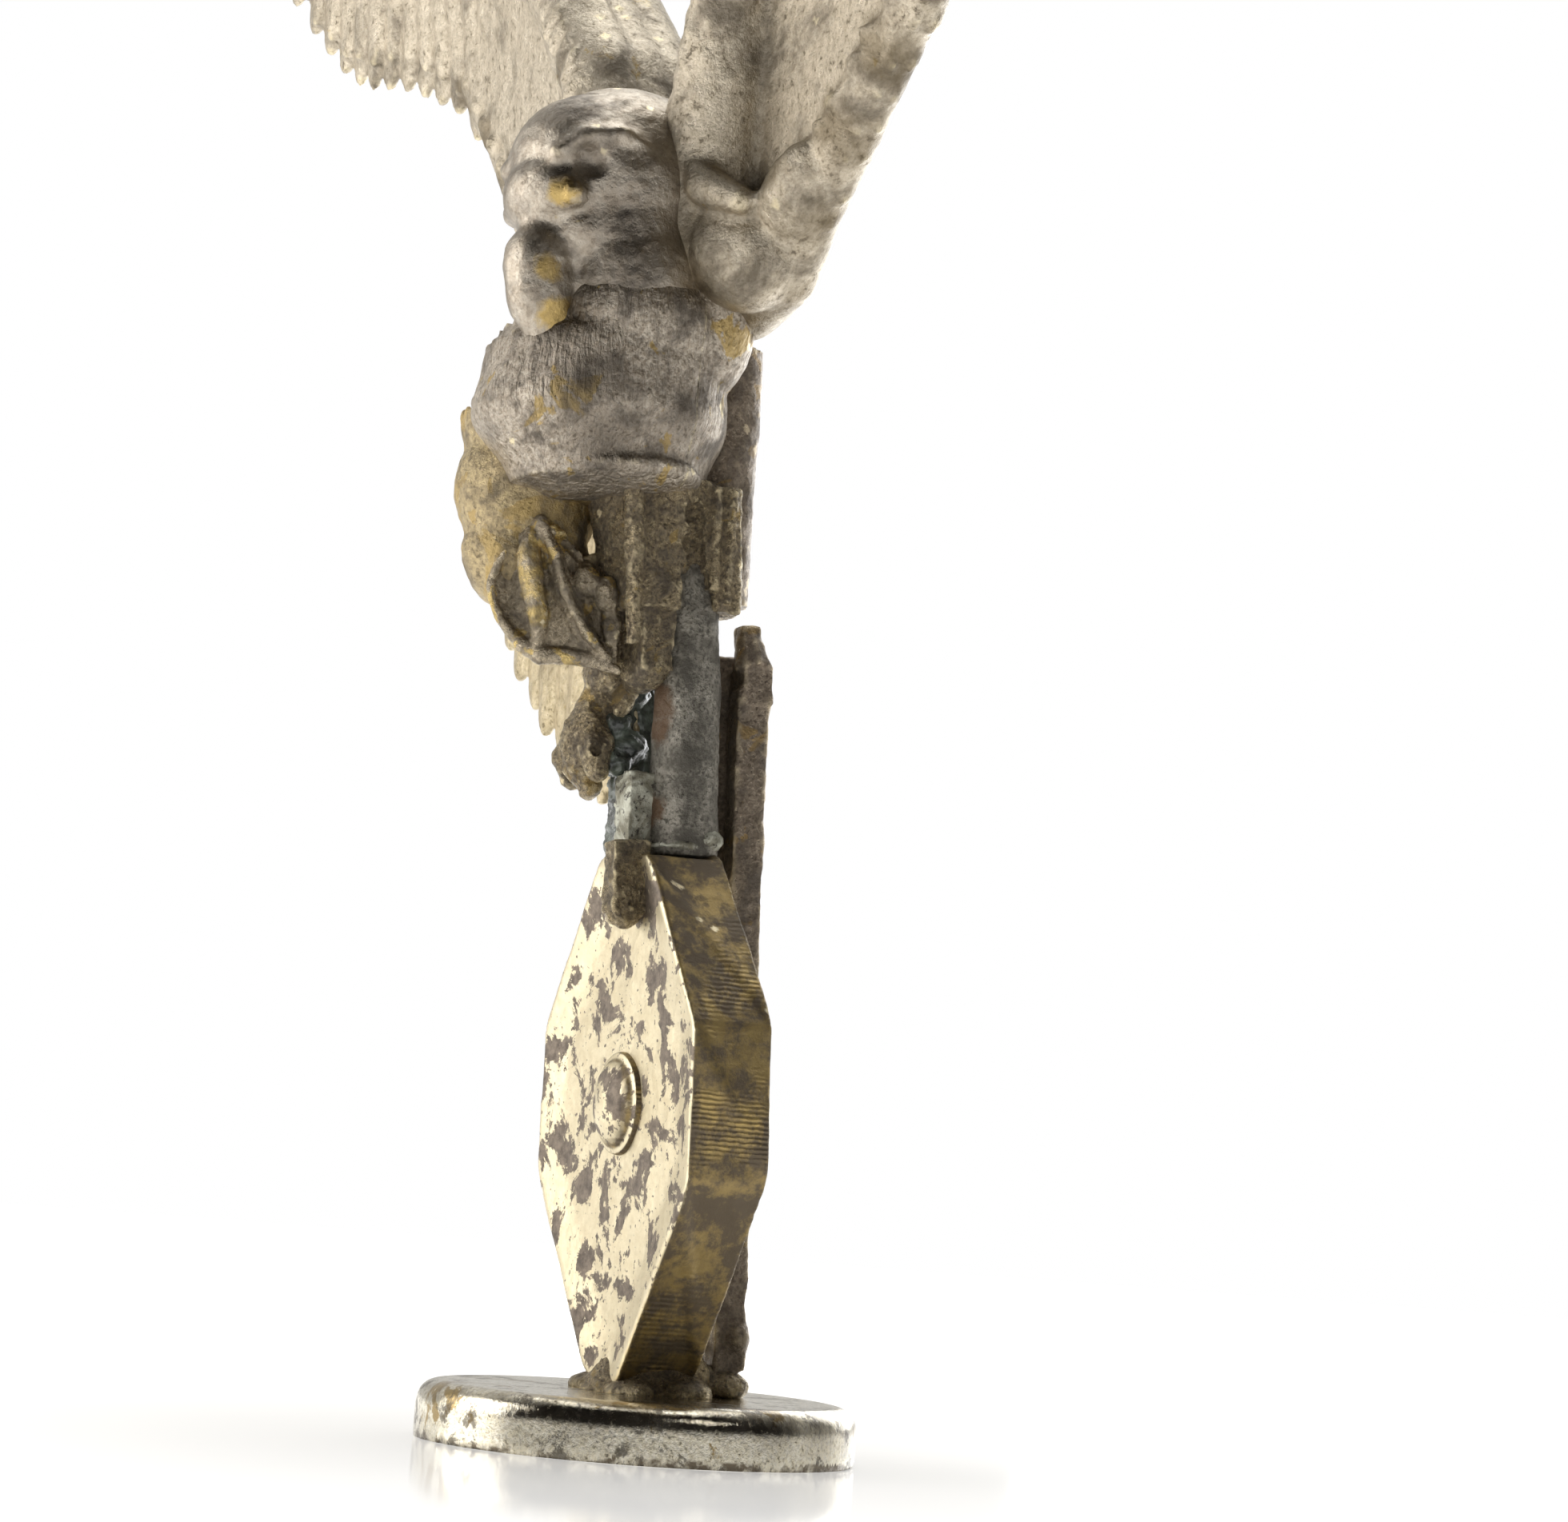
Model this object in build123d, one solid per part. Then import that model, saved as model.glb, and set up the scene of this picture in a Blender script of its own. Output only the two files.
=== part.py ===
from build123d import *
import os

# Cast bird mascot on a faceted plaque and a round base, with its fixing stud, washers and nut.
# Millimetres, +Z up, the bird faces -Y and its left side is +X. Origin: centre of the base's underside.

# Base and fixing hardware
base_radius = 22.5
base_height = 5.8
base_edge_radius = 1.4
stud_radius = 4.0
stud_root_depth = 3.8
stud_thread_length = 27.0
stud_point_radius = 2.75
stud_point_length = 5.0
stud_chamfer = 0.8
thread_clearance = 0.05
washer_hole_radius = 4.3
flat_washer_radius = 9.0
flat_washer_height = 1.6
lock_washer_radius = 7.0
lock_washer_height = 2.0
lock_washer_slit = 1.6
nut_width = 13.0
nut_height = 6.5
nut_chamfer = 0.7
panel_gap = 3.0

# The whole figure leans forward on its base by this many degrees
lean_angle = 2.6
foot_gap = 0.5

# Plaque
plaque_top = 61.0
plaque_half_width = 20.0
plaque_foot_half_width = 4.0
plaque_top_half_width = 6.5
plaque_shoulder_low = 27.0
plaque_shoulder_high = 43.0
plaque_thickness = 9.0
plaque_border = 5.5
plaque_recess = 1.2
plaque_chamfer = 0.7
boss_radius = 5.0
boss_height = 2.4
base_solder_radius = 9.0
base_solder_top_radius = 4.5
base_solder_height = 4.2

# Core rod and back strips
rod_x = 2.0
rod_y = 1.7
rod_bottom_radius = 3.4
rod_top_radius = 2.6
rod_top = 94.0
solder_collar_radius = 4.6
solder_collar_height = 3.4
strip_y = 8.9
strip_width = 5.0
strip_thickness = 2.4
lower_strip_top = 85.0
upper_strip_bottom = 86.6
upper_strip_top = 116.0
upper_strip_y = 6.4
strip_knob_radius = 1.9

# Body
belly_bottom = 79.0
body_bottom = 99.0
body_sections = [
    # height, half width, half depth, centre y
    (body_bottom, 9.0, 9.5, -7.5),
    (106.0, 13.0, 13.5, -9.0),
    (114.0, 14.5, 13.5, -8.0),
    (122.0, 13.0, 11.5, -6.5),
    (130.0, 9.0, 8.5, -7.0),
]
belly_sections = [
    (belly_bottom, 4.5, 4.6, -0.6),
    (88.0, 5.4, 5.6, -1.6),
    (body_bottom, 6.5, 7.0, -2.8),
]
body_split_y = -3.0

# Head
head_centre = (3.5, -11.5, 130.0)
head_radii = (9.5, 11.0, 11.5)
head_turn = 12.0
brow_centre = (0.0, -7.8, -1.5)
brow_radii = (6.0, 4.6, 4.2)
beak_root = (0.0, -8.0, -4.0)
beak_root_radius = 4.2
beak_tip_radius = 0.9
beak_length = 13.5
beak_tuck = 8.0

# Wings: outline points (x, z) of the left wing, from the root's lower corner round the leading edge
wing_plate_y = 0.0
wing_plate_thickness = 3.2
wing_outline = [
    (7.0, 113.0),
    (7.0, 131.0),
    (14.0, 150.0),
    (27.0, 167.0),
    (52.0, 189.0),
    (88.0, 205.0),
    (126.0, 212.0),
    (126.0, 201.0),
    (120.0, 192.0),
    (103.0, 175.0),
    (85.0, 169.0),
    (74.0, 163.0),
    (62.0, 152.0),
    (49.5, 139.0),
    (33.0, 127.0),
    (22.0, 118.0),
]
wing_arm_points = [(9.0, -1.0, 124.0), (20.0, -1.5, 148.0), (46.0, -1.0, 176.0), (98.0, 0.0, 202.0)]
wing_arm_radii = [7.0, 6.0, 4.5, 2.6]
wing_pin_radius = 1.6
wing_pin_length = 9.0
wing_pin_height = 122.0
wing_pin_y = -1.0
wing_pin_start = 5.0

# Right leg
thigh_sections = [(84.0, 3.6, 4.6, -9.0), (92.0, 6.6, 7.6, -12.6), (101.0, 7.0, 8.0, -13.6), (107.0, 5.0, 6.0, -12.6)]
leg_x = -8.0
tarsus_radius = 3.0
tarsus_y = -4.4
tarsus_bottom = 65.0
tarsus_top = 86.0
toe_radius = 2.1
toe_reach = 8.0
toe_spread = [-24.0, 0.0, 24.0]
tuft_radius = 3.4
tuft_height = 11.0

# Tail fan: one feather per entry, outer edge to root
tail_y = -1.5
tail_thickness = 2.0
tail_root_x = -5.5
tail_feather_width = 5.2
tail_tips = [90.0, 85.0, 79.0, 74.5, 71.0, 68.5, 67.0]
tail_top_outer = 99.0
tail_top_inner = 106.0


def leaning(shape):
    """Tilts a shape forward about the top of the base."""
    return Pos(0, 0, base_height) * Rot(lean_angle, 0, 0) * Pos(0, 0, -base_height) * shape


def ellipse_loft(sections, centre_x=0.0):
    """Smooth solid through level ellipses given as (height, half width, half depth, centre y)."""
    faces = [Pos(centre_x, y, z) * Ellipse(a, b) for z, a, b, y in sections]
    return loft(faces)


def ring(outer, inner, height, top):
    """Flat ring hanging below the height given as top."""
    return Pos(0, 0, top - height / 2) * (Cylinder(outer, height) - Cylinder(inner, height))


def make_base_disc():
    disc = Pos(0, 0, base_height / 2) * Cylinder(base_radius, base_height)
    rim = disc.edges().filter_by(GeomType.CIRCLE).sort_by(Axis.Z)[-1]
    disc = fillet(rim, base_edge_radius)
    return disc - Pos(0, 0, stud_root_depth / 2) * Cylinder(stud_radius, stud_root_depth)


def make_stud():
    thread_height = stud_root_depth + stud_thread_length
    thread = Pos(0, 0, stud_root_depth - thread_height / 2) * Cylinder(stud_radius, thread_height)
    point_z = -stud_thread_length - stud_point_length / 2
    point = Pos(0, 0, point_z) * Cylinder(stud_point_radius, stud_point_length)
    end = point.edges().filter_by(GeomType.CIRCLE).sort_by(Axis.Z)[0]
    return thread + chamfer(end, stud_chamfer)


def make_flat_washer():
    return ring(flat_washer_radius, washer_hole_radius, flat_washer_height, -panel_gap)


def make_lock_washer():
    top = -panel_gap - flat_washer_height
    washer = ring(lock_washer_radius, washer_hole_radius, lock_washer_height, top)
    slit = Pos(lock_washer_radius, 0, 0) * Box(2 * lock_washer_radius, lock_washer_slit, 60)
    return washer - slit


def make_nut():
    top = -panel_gap - flat_washer_height - lock_washer_height
    body = extrude(RegularPolygon(nut_width / 2, 6, major_radius=False), nut_height)
    corners = Cylinder(nut_width / 2 + nut_chamfer, nut_height, align=(Align.CENTER, Align.CENTER, Align.MIN))
    ends = corners.edges().filter_by(GeomType.CIRCLE)
    body = body & chamfer(ends, nut_chamfer)
    body -= Cylinder(stud_radius + thread_clearance, 4 * nut_height)
    return Pos(0, 0, top - nut_height) * body


def plaque_outline(margin=0.0):
    """Half-symmetric eight-sided outline in x and z, drawn in by a margin."""
    low = base_height + foot_gap
    points = [
        (plaque_foot_half_width, low),
        (plaque_half_width, plaque_shoulder_low),
        (plaque_half_width, plaque_shoulder_high),
        (plaque_top_half_width, plaque_top),
    ]
    outline = points + [(-x, z) for x, z in reversed(points)]
    face = make_face(Polyline(*outline, close=True))
    return offset(face, -margin) if margin else face


def upright(face, thickness, y):
    """Extrudes an (x, z) face into a plate of the thickness, centred on a y."""
    return Pos(0, y + thickness / 2, 0) * Rot(90, 0, 0) * extrude(face, thickness)


def make_plaque():
    plaque = upright(plaque_outline(), plaque_thickness, 0.0)
    plaque = chamfer(plaque.edges().filter_by(Plane.XZ), plaque_chamfer)
    field = plaque_outline(plaque_border)
    for side in (-1, 1):
        y = side * (plaque_thickness - plaque_recess) / 2
        plaque -= upright(field, plaque_recess, y)
    return plaque


def make_boss():
    """Plain domed boss that stands in the middle of the front field."""
    centre_z = (plaque_shoulder_low + plaque_shoulder_high) / 2
    front = -plaque_thickness / 2 + plaque_recess
    ball_radius = (boss_radius**2 + boss_height**2) / (2 * boss_height)
    ball = Pos(0, front - boss_height + ball_radius, centre_z) * Sphere(ball_radius)
    outer_side = Pos(0, front - boss_height, centre_z) * Box(4 * boss_radius, 2 * boss_height, 4 * boss_radius)
    return ball & outer_side


def make_base_solder(plaque, strip):
    cone = Cone(
        base_solder_radius,
        base_solder_top_radius,
        base_solder_height,
        align=(Align.CENTER, Align.CENTER, Align.MIN),
    )
    return Pos(0, 0, base_height) * cone - plaque - strip


def make_rod():
    height = rod_top - plaque_top
    return Pos(rod_x, rod_y, plaque_top + height / 2) * Cone(rod_bottom_radius, rod_top_radius, height)


def make_rod_solder(rod):
    collar = Cone(solder_collar_radius, rod_bottom_radius, solder_collar_height)
    return Pos(rod_x, rod_y, plaque_top + solder_collar_height / 2) * collar - rod


def make_lower_strip():
    height = lower_strip_top - base_height - foot_gap
    strip = Box(strip_width, strip_thickness, height, align=(Align.CENTER, Align.CENTER, Align.MIN))
    strip = Pos(0, strip_y, base_height + foot_gap) * strip
    strip = fillet(strip.edges().filter_by(Axis.Z), 0.6)
    return strip + Pos(0, strip_y, lower_strip_top - 0.4) * Sphere(strip_knob_radius)


def make_strip_foot(strip):
    """Bead of braze that holds the lower strip down on the base."""
    bead = Cone(3.8, 2.2, 2.6, align=(Align.CENTER, Align.CENTER, Align.MIN))
    return Pos(0, strip_y, base_height) * bead - strip


def make_upper_strip(body):
    height = upper_strip_top - upper_strip_bottom
    strip = Box(strip_width + 3, strip_thickness, height, align=(Align.CENTER, Align.CENTER, Align.MIN))
    jag = Pos(1.2, upper_strip_y, upper_strip_bottom) * Rot(0, 38, 0) * Box(3, 2 * strip_thickness, 3)
    return Pos(0, upper_strip_y, upper_strip_bottom) * strip - jag - body


def make_belly(rod, upper_strip):
    return ellipse_loft(belly_sections) - rod - upper_strip


def make_body():
    return ellipse_loft(body_sections)


def half_space(front):
    size = 200.0
    y = body_split_y - size / 2 if front else body_split_y + size / 2
    return Pos(0, y, 100) * Box(size, size, size)


def make_head(body):
    skull = scale(Sphere(1), by=head_radii)
    brow = Pos(*brow_centre) * scale(Sphere(1), by=brow_radii)
    beak = Pos(0, 0, beak_length / 2) * Cone(beak_root_radius, beak_tip_radius, beak_length)
    beak = Pos(*beak_root) * Rot(180 - beak_tuck, 0, 0) * beak
    return Pos(*head_centre) * Rot(0, 0, head_turn) * (skull + brow + beak) - body


def make_left_wing(body, pin):
    plate = upright(make_face(Polyline(*wing_outline, close=True)), wing_plate_thickness, wing_plate_y)
    wing = plate
    for start, end, r0, r1 in zip(wing_arm_points, wing_arm_points[1:], wing_arm_radii, wing_arm_radii[1:]):
        line = Vector(*end) - Vector(*start)
        frame = Plane(origin=start, z_dir=line)
        wing += frame * Pos(0, 0, line.length / 2) * Cone(r0, r1, line.length)
        wing += Pos(*end) * Sphere(r1)
    return wing - body - pin


def make_left_pin():
    pin = Cylinder(wing_pin_radius, wing_pin_length, align=(Align.CENTER, Align.CENTER, Align.MIN))
    return Pos(wing_pin_start, wing_pin_y, wing_pin_height) * Rot(0, 90, 0) * pin


def make_thigh(*neighbours):
    thigh = ellipse_loft(thigh_sections, leg_x)
    for other in neighbours:
        thigh -= other
    return thigh


def make_tuft(thigh, belly):
    """Loose feather fold over the joint between thigh and shank."""
    tuft = Cone(1.6, tuft_radius, tuft_height)
    first = Pos(leg_x + 1, -13.5, 86.5) * Rot(-24, 0, 0) * tuft
    second = Pos(leg_x + 3, -8.0, 85.5) * Rot(-10, 0, 0) * tuft
    return first - thigh - belly, second - thigh - belly - first


def make_foot(*neighbours):
    height = tarsus_top - tarsus_bottom
    foot = Pos(leg_x + 3, tarsus_y, tarsus_bottom + height / 2) * Cylinder(tarsus_radius, height)
    for turn in toe_spread:
        toe = Pos(0, -toe_reach / 2, 0) * Rot(90, 0, 0) * Cone(toe_radius, toe_radius * 0.5, toe_reach)
        foot += Pos(leg_x + 3, tarsus_y, tarsus_bottom + toe_radius) * Rot(16, 0, turn) * toe
    for other in neighbours:
        foot -= other
    return foot


def make_tail(*neighbours):
    points = [(tail_root_x, tail_top_inner)]
    x = tail_root_x
    for tip in reversed(tail_tips):
        points += [(x, tip), (x - tail_feather_width, tip)]
        x -= tail_feather_width
    points.append((x, tail_top_outer))
    tail = upright(make_face(Polyline(*points, close=True)), tail_thickness, tail_y)
    for other in neighbours:
        tail -= other
    return tail


def largest_solid(shape):
    """The main solid of a shape, without slivers that a cut has left."""
    return shape.solids().sort_by(SortBy.VOLUME)[-1]


def make_figure():
    """All pieces that lean together, by node name."""
    body = make_body()
    rod = make_rod()
    upper_strip = make_upper_strip(body)
    belly = make_belly(rod, upper_strip)
    lower_strip = make_lower_strip()
    left_pin = make_left_pin()
    right_pin = mirror(left_pin, Plane.YZ)
    left_wing = make_left_wing(body, left_pin)
    thigh = make_thigh(body, belly)
    tuft, inner_tuft = make_tuft(thigh, belly)
    foot = make_foot(thigh, tuft, inner_tuft, belly, rod)
    head = make_head(body)
    return {
        "emblem_plaque": make_plaque(),
        "emblem_boss": make_boss(),
        "core_rod": rod,
        "rod_solder": make_rod_solder(rod),
        "back_strip_lower": lower_strip,
        "back_strip_upper": upper_strip,
        "belly_core": belly,
        "breast_casting": (body & half_space(True)) - left_pin - right_pin,
        "back_casting": (body & half_space(False)) - left_pin - right_pin,
        "head": head,
        "left_wing": left_wing - head,
        "right_wing": mirror(left_wing, Plane.YZ) - head,
        "left_wing_pin": left_pin,
        "right_wing_pin": right_pin,
        "right_thigh": thigh,
        "thigh_tuft": tuft,
        "shank_tuft": inner_tuft,
        "right_foot": foot,
        "tail_fan": make_tail(belly, body, rod, upper_strip, thigh, foot, tuft, inner_tuft),
    }


def make_parts():
    parts = {name: leaning(largest_solid(shape)) for name, shape in make_figure().items()}
    parts["base_disc"] = make_base_disc()
    parts["base_solder"] = make_base_solder(parts["emblem_plaque"], parts["back_strip_lower"])
    parts["strip_foot_bead"] = make_strip_foot(parts["back_strip_lower"]) - parts["base_solder"]
    parts["mounting_stud"] = make_stud()
    parts["flat_washer"] = make_flat_washer()
    parts["lock_washer"] = make_lock_washer()
    parts["hex_nut"] = make_nut()
    return parts


os.makedirs("parts", exist_ok=True)
for node, shape in make_parts().items():
    export_step(shape, f"parts/{node}.step")
    print(node, round(shape.volume))
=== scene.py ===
import bpy
import math
import random
from mathutils import Matrix, Vector


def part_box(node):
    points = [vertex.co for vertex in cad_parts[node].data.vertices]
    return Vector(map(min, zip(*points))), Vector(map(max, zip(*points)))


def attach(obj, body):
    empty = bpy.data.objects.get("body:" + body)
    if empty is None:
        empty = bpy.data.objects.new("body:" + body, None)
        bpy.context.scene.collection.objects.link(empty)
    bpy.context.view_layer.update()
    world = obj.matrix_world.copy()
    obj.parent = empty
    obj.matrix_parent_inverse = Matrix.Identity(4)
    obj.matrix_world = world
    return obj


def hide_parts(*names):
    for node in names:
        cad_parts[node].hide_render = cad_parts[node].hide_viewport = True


# Old cast bird mascot on a plaque and a round base. Everything is built in millimetres and scaled by mm.
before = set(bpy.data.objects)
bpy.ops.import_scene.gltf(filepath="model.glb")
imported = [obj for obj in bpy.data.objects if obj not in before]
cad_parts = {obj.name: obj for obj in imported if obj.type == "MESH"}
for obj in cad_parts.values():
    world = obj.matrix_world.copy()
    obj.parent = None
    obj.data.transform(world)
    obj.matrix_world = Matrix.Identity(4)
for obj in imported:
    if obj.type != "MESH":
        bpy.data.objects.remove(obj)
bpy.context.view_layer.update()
mm = 0.001
random.seed(11)

figure = {"discTop": 5.8, "lean": 2.6}


def at(x, y, z):
    return Vector((x * mm, y * mm, z * mm))


leanMatrix = (
    Matrix.Translation(at(0, 0, figure["discTop"]))
    @ Matrix.Rotation(math.radians(figure["lean"]), 4, "X")
    @ Matrix.Translation(at(0, 0, -figure["discTop"]))
)


# camera, floor and light

camera = {
    "azimuth": 66.0,  # degrees round from the bird's front, towards its left
    "distance": 330.0,
    "height": 22.0,
    "yaw": -1.72,
    "pitch": 8.62,
    "roll": 4.4,
    "lens": 72.7,
}


def makeCamera():
    azimuth = math.radians(camera["azimuth"])
    place = at(
        math.sin(azimuth) * camera["distance"], -math.cos(azimuth) * camera["distance"], camera["height"],
    )
    bpy.ops.object.camera_add(location=place)
    eye = bpy.context.object
    heading = Matrix.Rotation(azimuth + math.radians(camera["yaw"]), 4, "Z")
    tilt = Matrix.Rotation(math.radians(90 + camera["pitch"]), 4, "X")
    roll = Matrix.Rotation(math.radians(camera["roll"]), 4, "Z")
    eye.matrix_world = Matrix.Translation(place) @ heading @ tilt @ roll
    eye.data.lens = camera["lens"]
    eye.data.clip_start = 0.01
    bpy.context.scene.camera = eye


def deselectAll():
    bpy.ops.object.select_all(action="DESELECT")


def selectOnly(piece):
    deselectAll()
    piece.select_set(True)
    bpy.context.view_layer.objects.active = piece


def areaLight(name, place, aim, size, power, colour):
    bpy.ops.object.light_add(type="AREA", location=place)
    lamp = bpy.context.object
    lamp.name = name
    lamp.rotation_euler = (aim - place).to_track_quat("-Z", "Y").to_euler()
    lamp.data.size = size
    lamp.data.energy = power
    lamp.data.color = colour


def makeLights():
    middle = at(0, 0, 90)
    areaLight("leftSoftbox", at(-300, -560, 260), middle, 0.45, 2.5, (1.0, 0.98, 0.95))
    areaLight("topSoftbox", at(-120, 60, 700), middle, 0.5, 2.0, (1.0, 1.0, 0.98))
    areaLight("backSoftbox", at(-420, 520, 260), middle, 0.45, 1.8, (0.96, 0.98, 1.0))
    areaLight("nearStrip", at(520, 160, 420), middle, 0.12, 0.22, (1.0, 0.97, 0.93))


def makeWorld():
    world = bpy.data.worlds.new("paleStudio")
    bpy.context.scene.world = world
    world.use_nodes = True
    tree = world.node_tree
    tree.nodes.clear()
    out = tree.nodes.new("ShaderNodeOutputWorld")
    seen = tree.nodes.new("ShaderNodeBackground")
    seen.inputs["Color"].default_value = (1.0, 1.0, 1.0, 1.0)
    seen.inputs["Strength"].default_value = 1.0
    room = tree.nodes.new("ShaderNodeBackground")
    room.inputs["Strength"].default_value = 0.6
    ramp = tree.nodes.new("ShaderNodeValToRGB")
    ramp.color_ramp.elements[0].position = 0.22
    ramp.color_ramp.elements[0].color = (1.0, 0.98, 0.94, 1.0)
    ramp.color_ramp.elements[1].position = 0.58
    ramp.color_ramp.elements[1].color = (0.035, 0.032, 0.03, 1.0)
    coords = tree.nodes.new("ShaderNodeTexCoord")
    turn = tree.nodes.new("ShaderNodeVectorRotate")
    turn.rotation_type = "Z_AXIS"
    turn.inputs["Angle"].default_value = math.radians(90 - camera["azimuth"])
    split = tree.nodes.new("ShaderNodeSeparateXYZ")
    half = tree.nodes.new("ShaderNodeMath")
    half.operation = "MULTIPLY_ADD"
    half.inputs[1].default_value = 0.5
    half.inputs[2].default_value = 0.5
    path = tree.nodes.new("ShaderNodeLightPath")
    mix = tree.nodes.new("ShaderNodeMixShader")
    link = tree.links.new
    link(coords.outputs["Generated"], turn.inputs["Vector"])
    link(turn.outputs["Vector"], split.inputs["Vector"])
    link(split.outputs["X"], half.inputs[0])
    link(half.outputs["Value"], ramp.inputs["Fac"])
    link(ramp.outputs["Color"], room.inputs["Color"])
    link(path.outputs["Is Camera Ray"], mix.inputs["Fac"])
    link(room.outputs["Background"], mix.inputs[1])
    link(seen.outputs["Background"], mix.inputs[2])
    link(mix.outputs["Shader"], out.inputs["Surface"])


# materials

def newMaterial(name):
    material = bpy.data.materials.new(name)
    material.use_nodes = True
    tree = material.node_tree
    tree.nodes.clear()
    out = tree.nodes.new("ShaderNodeOutputMaterial")
    shader = tree.nodes.new("ShaderNodeBsdfPrincipled")
    tree.links.new(shader.outputs["BSDF"], out.inputs["Surface"])
    coords = tree.nodes.new("ShaderNodeTexCoord")
    return material, tree, shader, coords.outputs["Object"]


def feed(shader, socket, value):
    shader.id_data.links.new(value, shader.inputs[socket])


def noise(tree, where, scale, detail=6.0, roughness=0.6, distortion=0.0):
    node = tree.nodes.new("ShaderNodeTexNoise")
    node.inputs["Scale"].default_value = scale
    node.inputs["Detail"].default_value = detail
    node.inputs["Roughness"].default_value = roughness
    node.inputs["Distortion"].default_value = distortion
    tree.links.new(where, node.inputs["Vector"])
    return node.outputs["Fac"]


def ramp(tree, value, low, high, start=0.0, end=1.0):
    # value stretched so that low gives start and high gives end
    node = tree.nodes.new("ShaderNodeMapRange")
    node.inputs["From Min"].default_value = low
    node.inputs["From Max"].default_value = high
    node.inputs["To Min"].default_value = start
    node.inputs["To Max"].default_value = end
    tree.links.new(value, node.inputs["Value"])
    return node.outputs["Result"]


def blendColour(tree, amount, first, second):
    node = tree.nodes.new("ShaderNodeMix")
    node.data_type = "RGBA"
    tree.links.new(amount, node.inputs["Factor"])
    for socket, colour in ((node.inputs["A"], first), (node.inputs["B"], second)):
        if isinstance(colour, tuple):
            socket.default_value = (*colour, 1.0)
        else:
            tree.links.new(colour, socket)
    return node.outputs["Result"]


def combine(tree, kind, first, second):
    node = tree.nodes.new("ShaderNodeMath")
    node.operation = kind
    node.use_clamp = True
    for socket, value in zip(node.inputs, (first, second)):
        if isinstance(value, (int, float)):
            socket.default_value = value
        else:
            tree.links.new(value, socket)
    return node.outputs["Value"]


def bumpFrom(tree, height, strength, depth, under=None):
    node = tree.nodes.new("ShaderNodeBump")
    node.inputs["Strength"].default_value = strength
    node.inputs["Distance"].default_value = depth
    tree.links.new(height, node.inputs["Height"])
    if under is not None:
        tree.links.new(under, node.inputs["Normal"])
    return node.outputs["Normal"]


def pointiness(tree):
    return tree.nodes.new("ShaderNodeNewGeometry").outputs["Pointiness"]


def mirrored(tree, where):
    # same place on both wings
    split = tree.nodes.new("ShaderNodeSeparateXYZ")
    tree.links.new(where, split.inputs["Vector"])
    across = tree.nodes.new("ShaderNodeMath")
    across.operation = "ABSOLUTE"
    tree.links.new(split.outputs["X"], across.inputs[0])
    join = tree.nodes.new("ShaderNodeCombineXYZ")
    tree.links.new(across.outputs["Value"], join.inputs["X"])
    tree.links.new(split.outputs["Y"], join.inputs["Y"])
    tree.links.new(split.outputs["Z"], join.inputs["Z"])
    return join.outputs["Vector"]


def spotMask(tree, where, spots, core=0.6):
    # ragged round marks, each a centre in metres and a radius in millimetres
    ragged = ramp(tree, noise(tree, where, 500.0, 6.0, 0.65), 0.3, 0.7, -0.6 * mm, 0.6 * mm)
    mask = None
    for centre, radius in spots:
        away = tree.nodes.new("ShaderNodeVectorMath")
        away.operation = "DISTANCE"
        away.inputs[1].default_value = centre
        tree.links.new(where, away.inputs[0])
        reach = tree.nodes.new("ShaderNodeMath")
        tree.links.new(away.outputs["Value"], reach.inputs[0])
        tree.links.new(ragged, reach.inputs[1])
        mark = ramp(tree, reach.outputs["Value"], radius * mm, radius * core * mm)
        mask = mark if mask is None else combine(tree, "MAXIMUM", mask, mark)
    return mask


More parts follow.
